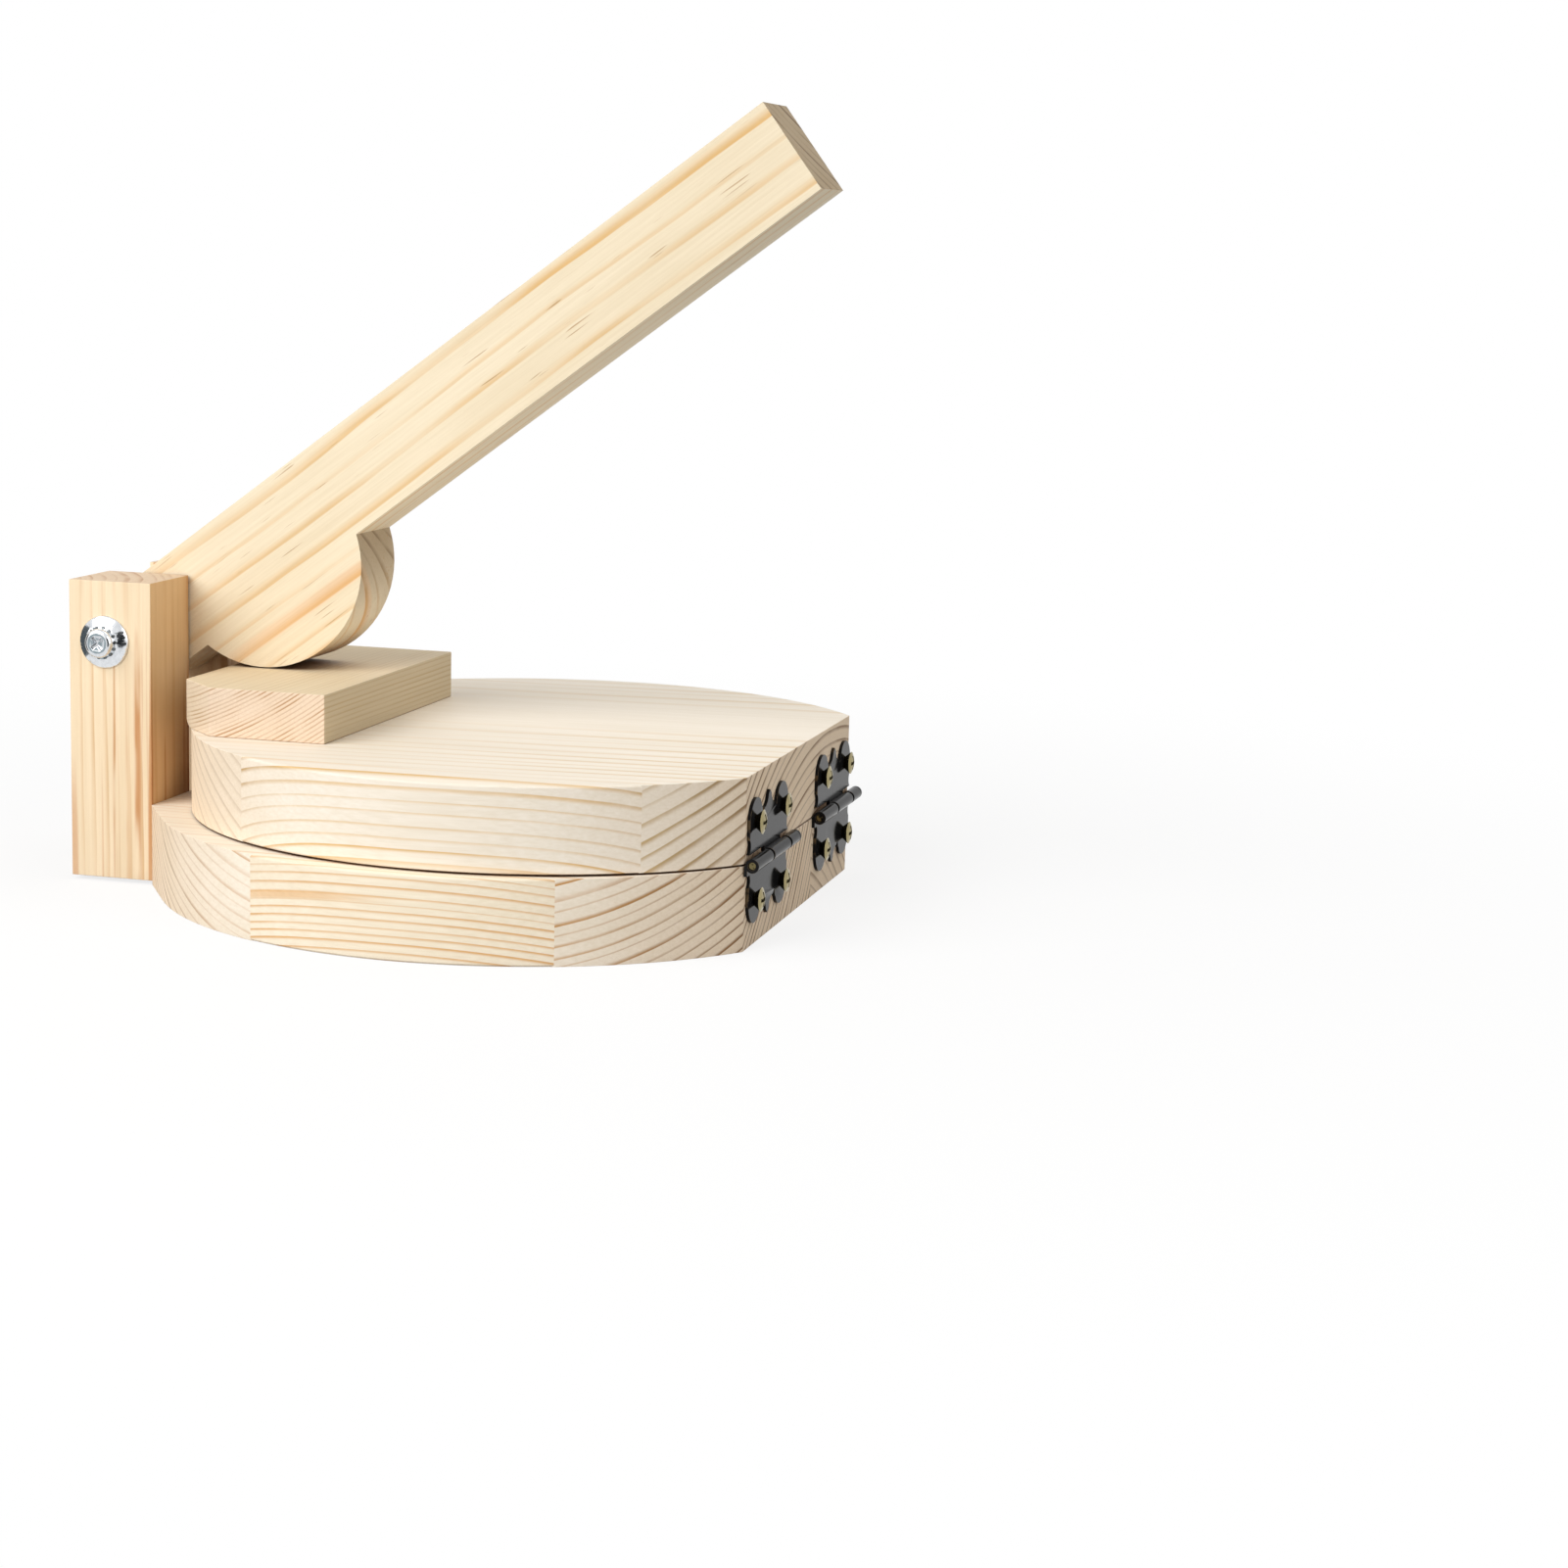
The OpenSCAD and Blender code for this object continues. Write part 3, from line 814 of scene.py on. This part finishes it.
class Bench:
    """The shared bench work: one piece is held at a time and shaped in edit mode.

    Corners closer than weld, in metres, become one. The angles say from where a face counts as flat,
    an edge as sharp, a shade as smooth and a corner as hollow. Faces marked with bare are worn through.
    """

    weld: ClassVar[float] = 2e-6
    flat: ClassVar[float] = math.radians(0.6)
    sharp: ClassVar[float] = math.radians(32.0)
    smooth: ClassVar[float] = math.radians(20.0)
    hollow: ClassVar[float] = math.radians(40.0)
    eased_faces: ClassVar[int] = 2
    hollow_faces: ClassVar[int] = 5
    bare: ClassVar[float] = 4.0

    @staticmethod
    def hold(piece: Piece) -> None:
        """Selects one piece and nothing else.

        Args:
            piece: The piece.
        """
        bpy.ops.object.select_all(action="DESELECT")
        piece.select_set(True)
        bpy.context.view_layer.objects.active = piece

    @classmethod
    def copy_of(cls, node: str, title: str) -> Piece:
        """Copies a CAD node and merges its loose triangles into whole faces.

        Args:
            node: The CAD node's name.
            title: The copy's name.

        Returns:
            The copy, with its own mesh and no material.
        """
        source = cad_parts[node]
        piece = bpy.data.objects.new(title, source.data.copy())
        bpy.context.scene.collection.objects.link(piece)
        piece.data.name = title
        piece.data.materials.clear()
        cls.hold(piece)
        bpy.ops.object.mode_set(mode="EDIT")
        bpy.ops.mesh.select_all(action="SELECT")
        bpy.ops.mesh.remove_doubles(threshold=cls.weld)
        bpy.ops.mesh.dissolve_limited(angle_limit=cls.flat)
        bpy.ops.object.mode_set(mode="OBJECT")
        return piece

    @classmethod
    def sharp_edges(cls, piece: Piece, sharp: float) -> list[bpy.types.MeshEdge]:
        """Lists the edges between faces that meet at more than an angle.

        Args:
            piece: The piece.
            sharp: The angle, in radians.

        Returns:
            The edges.
        """
        cls.hold(piece)
        bpy.ops.object.mode_set(mode="EDIT")
        bpy.ops.mesh.select_mode(type="EDGE")
        bpy.ops.mesh.select_all(action="DESELECT")
        bpy.ops.mesh.edges_select_sharp(sharpness=sharp)
        bpy.ops.object.mode_set(mode="OBJECT")
        return [edge for edge in piece.data.edges if edge.select]

    @classmethod
    def round_off(
        cls, piece: Piece, edges: Sequence[bpy.types.MeshEdge], width: float, segments: int
    ) -> None:
        """Bevels some edges and leaves the new faces selected.

        Args:
            piece: The piece to shape.
            edges: The edges.
            width: How far the rounding reaches from each edge.
            segments: How many faces it has.
        """
        mesh = piece.data
        chosen = [edge.index for edge in edges]
        for group in (mesh.vertices, mesh.edges, mesh.polygons):
            group.foreach_set("select", [False] * len(group))
        for index in chosen:
            mesh.edges[index].select = True
            for corner in mesh.edges[index].vertices:
                mesh.vertices[corner].select = True
        cls.hold(piece)
        bpy.ops.object.mode_set(mode="EDIT")
        bpy.ops.mesh.bevel(
            offset=width * MM, offset_type="OFFSET", segments=segments, profile=0.5, clamp_overlap=True
        )
        bpy.ops.object.mode_set(mode="OBJECT")

    @classmethod
    def ease(cls, piece: Piece, width: float, spare: Spare = never) -> None:
        """Rounds the sharp edges and marks the new faces as eased.

        Args:
            piece: The piece to shape.
            width: How far the rounding reaches from each edge.
            spare: Tells from an edge's two ends, in millimetres, whether it stays sharp.
        """
        mesh = piece.data
        chosen = [
            edge
            for edge in cls.sharp_edges(piece, cls.sharp)
            if not spare(*(mesh.vertices[index].co / MM for index in edge.vertices))
        ]
        cls.round_off(piece, chosen, width, cls.eased_faces)
        marks = mesh.attributes.new(EASED, "FLOAT", "FACE")
        marks.data.foreach_set("value", [float(face.select) for face in mesh.polygons])
        bpy.ops.object.shade_smooth_by_angle(angle=cls.smooth)

    @classmethod
    def fill_corners(cls, piece: Piece, width: float) -> None:
        """Rounds the corners that point into a piece, as a saw leaves them.

        Args:
            piece: The piece to shape.
            width: How far the rounding reaches from each corner.
        """
        sharp = cls.sharp_edges(piece, cls.hollow)
        beside: dict[tuple[int, int], list[bpy.types.MeshPolygon]] = {}
        for face in piece.data.polygons:
            for key in face.edge_keys:
                beside.setdefault(key, []).append(face)
        hollow = []
        for edge in sharp:
            first, second = beside[tuple(sorted(edge.vertices))]
            if (second.center - first.center).dot(first.normal) > 0.0:
                hollow.append(edge)
        cls.round_off(piece, hollow, width, cls.hollow_faces)

    @classmethod
    def rub_bare(cls, piece: Piece, rubbed: Callable[[Vector], bool]) -> None:
        """Marks faces as worn through.

        Args:
            piece: An eased piece.
            rubbed: Tells from a face's middle, in millimetres, whether it is worn.
        """
        marks = piece.data.attributes[EASED].data
        for face, mark in zip(piece.data.polygons, marks):
            if rubbed(face.center / MM):
                mark.value = cls.bare

    @staticmethod
    def hand_over(piece: Piece, body: Body, finish: Finish, *nodes: str) -> None:
        """Paints a finished piece and gives it to its body.

        Args:
            piece: The finished piece.
            body: What it moves with.
            finish: Its material.
            nodes: The CAD nodes that it stands for.
        """
        piece.data.materials.clear()
        piece.data.materials.append(finish.material())
        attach(piece, body.value)
        if nodes:
            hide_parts(*nodes)
        faces = len(piece.data.polygons)
        LOG.info("%s: %d faces, %s, rides on %s", piece.name, faces, finish.title, body.value)

    @classmethod
    def finish_copy(
        cls, node: str, title: str, width: float, body: Body, finish: Finish, spare: Spare = never
    ) -> None:
        """Copies a CAD node, rounds its edges and hands it over in the node's place.

        Args:
            node: The CAD node's name.
            title: The copy's name.
            width: How far the rounding reaches from each edge.
            body: What it moves with.
            finish: Its material.
            spare: Tells which edges stay sharp.
        """
        piece = cls.copy_of(node, title)
        cls.ease(piece, width, spare)
        cls.hand_over(piece, body, finish, node)


# The press


@dataclass
class Board:
    """A round board of three glued staves.

    Args:
        name: What its nodes' names begin with.
        body: What it moves with.
        staves: The finish of each stave, from near to far.
        easing: The rounding of its edges.
        seam_reach: How near a seam an edge lies that counts as part of it.
    """

    name: str
    body: Body
    staves: tuple[Pine, Pine, Pine]
    easing: float = 0.45
    seam_reach: float = 0.02

    def build(self) -> None:
        """Copies the staves, rounds their outer edges and dresses them."""
        for place, finish in zip(("near", "middle", "far"), self.staves):
            title = f"{self.name}_{place}_stave"
            node = f"{self.name}_stave_{place}"
            Bench.finish_copy(node, title, self.easing, self.body, finish, self.on_seam)

    def on_seam(self, start: Vector, end: Vector) -> bool:
        """Tells whether an edge lies in a glued seam."""
        seams = (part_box(f"{self.name}_stave_near")[1].y / MM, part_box(f"{self.name}_stave_far")[0].y / MM)
        return any(max(abs(start.y - seam), abs(end.y - seam)) < self.seam_reach for seam in seams)


@dataclass
class Posts:
    """The two square posts that hold the bolt, and the screws through their feet.

    Args:
        near, far: Their finishes.
        easing: The rounding of their edges.
        screw_easing: The rounding of the screws' edges.
    """

    near: Pine
    far: Pine
    easing: float = 0.4
    screw_easing: float = 0.12

    def build(self) -> None:
        """Copies and dresses the posts and their screws."""
        for node, finish in (("near_post", self.near), ("far_post", self.far)):
            Bench.finish_copy(node, f"{node}_planed", self.easing, Body.BASE, finish)
        Bench.finish_copy("post_screws", "post_foot_screws", self.screw_easing, Body.BASE, ZINC)


@dataclass
class Lever:
    """The lever with its cam lobe.

    Args:
        finish: Its wood.
        easing: The rounding of its edges.
        corner: How far the rounding of the hollow corners beside the cam lobe reaches.
    """

    finish: Pine
    easing: float = 0.45
    corner: float = 1.3

    def build(self) -> None:
        """Copies and dresses the lever."""
        piece = Bench.copy_of("lever", "lever_planed")
        Bench.fill_corners(piece, self.corner)
        Bench.ease(piece, self.easing)
        Bench.hand_over(piece, Body.LEVER, self.finish, "lever")


@dataclass
class PressBar:
    """The bar that the cam bears on, and the screws that hold it.

    Args:
        finish: Its wood.
        easing: The rounding of its edges.
        screw_easing: The rounding of the screws' edges.
    """

    finish: Pine
    easing: float = 0.75
    screw_easing: float = 0.12

    def build(self) -> None:
        """Copies and dresses the bar and its screws."""
        Bench.finish_copy("press_bar", "press_bar_planed", self.easing, Body.UPPER_PLATE, self.finish)
        Bench.finish_copy("bar_screws", "bar_fixing_screws", self.screw_easing, Body.UPPER_PLATE, ZINC)


@dataclass
class Pivot:
    """The bolt that the lever turns on, with its two dished washers and its nut.

    Args:
        easing: The rounding of the metal's edges.
        teeth: How many teeth the lock ring under the head has.
        tooth_corners: How many corners a tooth has, half of them at its root.
        root_share: Where the roots lie, as a share of the ring's radius.
        ring_r: The lock ring's radius over its teeth.
        ring_t: Its thickness.
    """

    easing: float = 0.1
    teeth: int = 14
    tooth_corners: int = 4
    root_share: float = 0.84
    ring_r: float = 4.1
    ring_t: float = 0.4

    def build(self) -> None:
        """Copies and dresses the bolt, washers and nut, and adds the lock ring."""
        for node in ("pivot_bolt", "near_cup_washer", "far_cup_washer", "lock_nut"):
            Bench.finish_copy(node, f"{node}_plated", self.easing, Body.BASE, ZINC)
        self.cut_ring()

    def cut_ring(self) -> None:
        """Cuts the toothed ring that lies between the bolt's head and the cup washer."""
        low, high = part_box("pivot_bolt")
        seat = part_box("near_cup_washer")[0].y
        middle = Vector(((low.x + high.x) / 2, seat - self.ring_t / 2 * MM, (low.z + high.z) / 2))
        bpy.ops.object.select_all(action="DESELECT")
        bpy.ops.mesh.primitive_cylinder_add(
            vertices=self.tooth_corners * self.teeth,
            radius=self.ring_r * MM,
            depth=self.ring_t * MM,
            location=middle,
            rotation=(math.pi / 2, 0, 0),
        )
        ring = bpy.context.object
        ring.name = ring.data.name = "bolt_lock_ring"
        bpy.ops.object.transform_apply(location=True, rotation=True, scale=True)
        bpy.ops.object.mode_set(mode="EDIT")
        bpy.ops.mesh.select_mode(type="VERT")
        bpy.ops.mesh.select_all(action="DESELECT")
        bpy.ops.object.mode_set(mode="OBJECT")
        # A cylinder numbers its corners in pairs, one on each of its flat sides.
        for vertex in ring.data.vertices:
            vertex.select = (vertex.index // 2 + 1) % self.tooth_corners < self.tooth_corners // 2
        bpy.ops.object.mode_set(mode="EDIT")
        bpy.ops.transform.resize(value=(self.root_share, 1.0, self.root_share), center_override=middle)
        bpy.ops.object.mode_set(mode="OBJECT")
        Bench.ease(ring, self.easing / 2)
        Bench.hand_over(ring, Body.BASE, DULL_ZINC)


@dataclass
class Hinge:
    """A scalloped hinge of two leaves on a pin, with two screws in each leaf.

    Args:
        side: Which end of the boards it sits at, near or far.
        easing: The rounding of the leaves' edges.
        screw_easing: The rounding of the screws' edges.
        pin_easing: The rounding of the pin's edges.
        pin_worn: How far the pin's near end is worn bare.
    """

    side: str
    easing: float = 0.16
    screw_easing: float = 0.08
    pin_easing: float = 0.1
    pin_worn: float = 0.4

    def build(self) -> None:
        """Copies and dresses the leaves, the pin and the screws."""
        for leaf, body in (("lower", Body.BASE), ("upper", Body.UPPER_PLATE)):
            name = f"{self.side}_hinge_{leaf}"
            Bench.finish_copy(f"{name}_leaf", f"{name}_leaf_lacquered", self.easing, body, LACQUER)
            Bench.finish_copy(f"{name}_screws", f"{name}_screws_brass", self.screw_easing, body, BRASS)
        pin = f"{self.side}_hinge_pin"
        piece = Bench.copy_of(pin, f"{pin}_lacquered")
        Bench.ease(piece, self.pin_easing)
        near_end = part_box(pin)[0].y / MM
        Bench.rub_bare(piece, lambda middle: middle.y < near_end + self.pin_worn)
        Bench.hand_over(piece, Body.BASE, WORN_PIN, pin)


# Studio


@dataclass(frozen=True)
class Lamp:
    """A square soft light that points at the press.

    Args:
        title: Its name.
        toward: The direction that it stands in.
        level: How bright it makes a white face turned to it.
        size: The side of its square.
        distance: How far away it stands.
        tint: Its colour.
    """

    title: str
    toward: Triple
    level: float
    size: float
    distance: float = 1500.0
    tint: Triple = (1.0, 0.99, 0.975)

    def hang(self) -> Piece:
        """Hangs the lamp.

        Returns:
            The lamp.
        """
        toward = Vector(self.toward).normalized()
        light = bpy.data.lights.new(self.title, "AREA")
        light.shape = "SQUARE"
        light.size = self.size * MM
        light.energy = self.level * math.pi**2 * (self.distance * MM) ** 2
        light.color = self.tint
        lamp = bpy.data.objects.new(self.title, light)
        lamp.location = toward * self.distance * MM
        lamp.rotation_euler = (-toward).to_track_quat("-Z", "Y").to_euler()
        bpy.context.scene.collection.objects.link(lamp)
        return lamp


@dataclass(frozen=True)
class Card:
    """A card that only bright metal reflects.

    Args:
        title: Its name.
        middle: Where its middle stands on the floor.
        width, height: Its size.
        shade: Its colour.
        faces: The point that it faces.
    """

    title: str
    middle: Pair
    width: float
    height: float
    shade: Tint = (36, 40, 42)
    faces: Pair = (-96.0, -38.0)

    def stand(self) -> Piece:
        """Stands the card on the floor.

        Returns:
            The card.
        """
        turn = math.atan2(self.faces[1] - self.middle[1], self.faces[0] - self.middle[0])
        bpy.ops.object.select_all(action="DESELECT")
        bpy.ops.mesh.primitive_plane_add(
            size=MM,
            location=(self.middle[0] * MM, self.middle[1] * MM, self.height / 2 * MM),
            rotation=(math.pi / 2, 0.0, turn + math.pi / 2),
        )
        card = bpy.context.object
        card.name = self.title
        card.scale = (self.width, self.height, 1.0)
        bpy.ops.object.transform_apply(location=True, rotation=True, scale=True)
        made = bpy.data.materials.new(self.title)
        r = Recipe.anew(made)
        shown = r.add("ShaderNodeEmission", paint(self.shade), 1.0).outputs[0]
        r.feed(r.add("ShaderNodeOutputMaterial").inputs["Surface"], shown)
        card.data.materials.append(made)
        card.visible_camera = card.visible_diffuse = card.visible_shadow = False
        card.visible_transmission = card.visible_volume_scatter = False
        return card


@dataclass
class Studio:
    """A white floor, soft lights, cards for the metal to mirror, an even surround and the camera.

    Args:
        lamps: The lights.
        cards: The cards.
        floor_reach: Half the floor's width.
        floor_drop: How far the floor lies below the press.
        floor_white: The floor's colour where it shows the shadow.
        floor_bounce: How much light the floor throws back on the press.
        ambient: The surround's brightness.
        calm: How far the floor near the press is plain white, which thins its shadow.
        clear_from, clear_to: The distances from the press over which the floor turns plain white.
        eye: The camera's place.
        ahead: The camera's line of sight.
        azimuth, roll: The camera's turn and its tilt.
        lens, sensor: The focal length and the sensor's width.
        clip: The nearest and the farthest that the camera sees, in metres.
    """

    lamps: tuple[Lamp, ...] = (
        Lamp("key_light", (-0.47, -0.7, 0.58), 1.0, size=1300.0),
        Lamp("fill_light", (0.85, -0.4, 0.4), 0.27, size=1200.0),
        Lamp("top_light", (0.3, 0.5, 1.0), 0.25, size=1200.0),
    )
    cards: tuple[Card, ...] = (
        Card("right_card", (-2.0, -212.0), 140.0, 135.0),
        Card("left_card", (-206.0, -54.0), 90.0, 104.0, shade=(84, 92, 96)),
        Card("low_card", (-196.0, -236.0), 90.0, 76.0, shade=(160, 174, 178)),
    )
    floor_reach: float = 4000.0
    floor_drop: float = 0.02
    floor_white: float = 0.97
    floor_bounce: float = 0.42
    ambient: float = 0.22
    calm: float = 0.8
    clear_from: float = 120.0
    clear_to: float = 420.0
    eye: Triple = (250.52, -721.12, 161.48)
    ahead: Triple = (-0.24177, 0.95472, -0.17336)
    azimuth: float = 14.211
    roll: float = 1.592
    lens: float = 71.316
    sensor: float = 36.0
    clip: Pair = (0.01, 50.0)

    def build(self) -> None:
        """Sets up the floor, the lights, the cards, the surround and the camera."""
        self.lay_floor()
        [lamp.hang() for lamp in self.lamps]
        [card.stand() for card in self.cards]
        self.surround()
        self.place_camera()
        bpy.context.scene.view_settings.view_transform = "Standard"

    @staticmethod
    def mirrored(path: Sockets, r: Recipe) -> Socket:
        """Returns 1 for what is seen in a mirror or through glass."""
        return r.sum("MAXIMUM", path["Is Glossy Ray"], path["Is Transmission Ray"])

    def lay_floor(self) -> Piece:
        """Lays the floor and dresses it in a plain white that keeps the press's shadow.

        Returns:
            The floor.
        """
        bpy.ops.object.select_all(action="DESELECT")
        size = 2 * self.floor_reach * MM
        bpy.ops.mesh.primitive_plane_add(size=size, location=(0, 0, -self.floor_drop * MM))
        floor = bpy.context.object
        floor.name = "floor"
        bpy.ops.object.transform_apply(location=True, rotation=True, scale=True)
        made = bpy.data.materials.new("floor_white")
        r = Recipe.anew(made)
        path = r.add("ShaderNodeLightPath").outputs
        mirrored = self.mirrored(path, r)
        place = r.add("ShaderNodeTexCoord").outputs["Object"]
        away = r.rise(r.vector("LENGTH", place), self.clear_from * MM, self.clear_to * MM)
        away = r.sum("MAXIMUM", r.span(away, self.calm, 1.0), mirrored)
        plain = r.add("ShaderNodeEmission", WHITE, 1.0).outputs[0]
        lit, dim = (
            r.add("ShaderNodeBsdfDiffuse", (white,) * 3 + (1.0,)).outputs[0]
            for white in (self.floor_white, self.floor_bounce)
        )
        shown = r.add("ShaderNodeMixShader", away, lit, plain).outputs[0]
        seen = r.sum("MAXIMUM", path["Is Camera Ray"], mirrored)
        whole = r.add("ShaderNodeMixShader", seen, dim, shown).outputs[0]
        r.feed(r.add("ShaderNodeOutputMaterial").inputs["Surface"], whole)
        floor.data.materials.append(made)
        return floor

    def surround(self) -> None:
        """Makes the world white to the eye and dimmer as a light."""
        world = bpy.data.worlds.new("surround")
        bpy.context.scene.world = world
        r = Recipe.anew(world)
        path = r.add("ShaderNodeLightPath").outputs
        seen = r.sum("MAXIMUM", path["Is Camera Ray"], self.mirrored(path, r))
        light = r.add("ShaderNodeBackground", WHITE, r.span(seen, self.ambient, 1.0)).outputs[0]
        r.feed(r.add("ShaderNodeOutputWorld").inputs["Surface"], light)

    def place_camera(self) -> None:
        """Places the camera at the picture's viewpoint."""
        ahead = Vector(self.ahead).normalized()
        turn = math.radians(self.azimuth)
        right = Vector((math.cos(turn), math.sin(turn), 0.0))
        up = right.cross(ahead)
        tilt = math.radians(self.roll)
        across = right * math.cos(tilt) + up * math.sin(tilt)
        upward = up * math.cos(tilt) - right * math.sin(tilt)
        camera = bpy.data.objects.new("camera", bpy.data.cameras.new("camera"))
        camera.data.lens = self.lens
        camera.data.sensor_width = self.sensor
        camera.data.clip_start, camera.data.clip_end = self.clip
        turned = Matrix((across, upward, -ahead)).transposed().to_4x4()
        camera.matrix_world = Matrix.Translation(Vector(self.eye) * MM) @ turned
        bpy.context.scene.collection.objects.link(camera)
        bpy.context.scene.camera = camera


# Grain of each piece


def lower_board() -> Board:
    """Returns the lower board with the grain of its staves."""
    near = Pine(
        "lower_near_pine", Slot.BOARD, pith=(0, -132, -114), spacing=1.75, unevenness=0.25, waviness=0.3,
        line_start=0.6, contrast=0.9, top_share=0.6, early=(251, 238, 214), late=(228, 180, 124),
        band_radius=135.3, band_width=2.4, band_strength=0.7, seed=3.0,
    )
    # The middle stave's lines weaken toward its left end: painted light, as if washed out by the key light.
    middle = Pine(
        "lower_middle_pine", Slot.BOARD, pith=(0, -138, 122), spacing=2.3, unevenness=0.55, waviness=0.3,
        line_start=0.64, contrast=1.0, top_share=0.6, highlight_fade=(0.55, 1.05), early=(251, 240, 222),
        late=(212, 160, 100), seed=11.0,
    )
    far = Pine(
        "lower_far_pine", Slot.BOARD, pith=(0, -20, -80), spacing=3.2, line_start=0.6, waviness=0.3, seed=17.0
    )
    return Board("lower", Body.BASE, (near, middle, far))


def upper_board() -> Board:
    """Returns the upper board with the grain of its staves; the middle and the far one share a tree."""
    near = Pine(
        "upper_near_pine", Slot.BOARD, pith=(0, -93, -18), lean=(0, 0, 2), spacing=2.9, waviness=0.3,
        line_start=0.6, contrast=0.8, late=(228, 188, 126), seed=23.0,
    )
    # Their lines weaken toward the left end: painted light, as if washed out by the key light.
    middle, far = (
        Pine(
            f"upper_{place}_pine", Slot.BOARD, pith=(20, 25, -76.2), lean=(0, 0, 5), spacing=2.9,
            waviness=0.3, line_start=0.6, contrast=1.0, top_share=0.75, highlight_fade=(0.3, 1.0),
            late=(222, 192, 142), seed=29.0,
        )
        for place in ("middle", "far")
    )
    return Board("upper", Body.UPPER_PLATE, (near, middle, far))


def posts() -> Posts:
    """Returns the posts, the near one with a heavy band down its face."""
    # The posts' side shade tint paints shade on their faces turned to the X axis.
    shared = dict(
        fibre=Fibre.UPRIGHT, spacing=2.9, unevenness=0.9, waviness=0.7, early=(250, 228, 194),
        late=(214, 164, 106), end_early=(226, 202, 174), end_late=(178, 130, 92), contrast=0.5,
        patchiness=0.8, streaks=1.0, streak=(210, 154, 104), flank=(228, 210, 186), tone=0.1,
    )
    near = Pine(
        "near_post_pine", Slot.POST, pith=(-147, -53, 0), band_radius=47.0, band_width=2.2,
        band_strength=0.5, band=(204, 134, 76), seed=37.0, **shared,
    )
    # The far post's long crevice reach paints deep shade on its face in the slot under the lever.
    far = Pine("far_post_pine", Slot.POST, pith=(-60, 70, 0), crevice=32.0, seed=41.0, **shared)
    return Posts(near, far)


def lever() -> Lever:
    """Returns the lever with its grain."""
    # The lever's long crevice reach paints shade on its underside between the posts.
    wood = Pine(
        "lever_planed_pine", Slot.LEVER, pith=(-138.4, 62.6, 116.6), fibre=Fibre.ALONG_LEVER, spacing=4.2,
        unevenness=0.12, waviness=0.6, line_start=0.6, early=(243, 228, 199), late=(226, 182, 116),
        end_early=(188, 168, 138), end_late=(116, 92, 68), contrast=0.8, patchiness=0.6, band_radius=116.4,
        band_width=3.4, band_strength=0.5, band=(236, 182, 128), tone=0.09, dashes=0.75, crevice=26.0,
        seed=43.0,
    )
    return Lever(wood)


def press_bar() -> PressBar:
    """Returns the press bar with its grain."""
    # The bar's side shade tint paints shade on its faces turned to the X axis.
    wood = Pine(
        "bar_planed_pine", Slot.BAR, pith=(-102, 0, 143), fibre=Fibre.ACROSS, spacing=1.0, unevenness=0.4,
        waviness=0.2, early=(231, 213, 181), late=(212, 186, 146), flank=(228, 226, 220),
        end_early=(236, 214, 190), end_late=(184, 140, 96), contrast=0.85, top_share=0.5, patchiness=0.6,
        seed=47.0,
    )
    return PressBar(wood)


def main() -> None:
    """Builds the press and its studio."""
    logging.basicConfig(level=logging.INFO, format="%(name)s: %(message)s")
    wooden = (lower_board(), upper_board(), posts(), lever(), press_bar())
    for part in (*wooden, Pivot(), Hinge("near"), Hinge("far"), Studio()):
        part.build()
    bpy.context.view_layer.update()


if __name__ == "__main__":
    main()
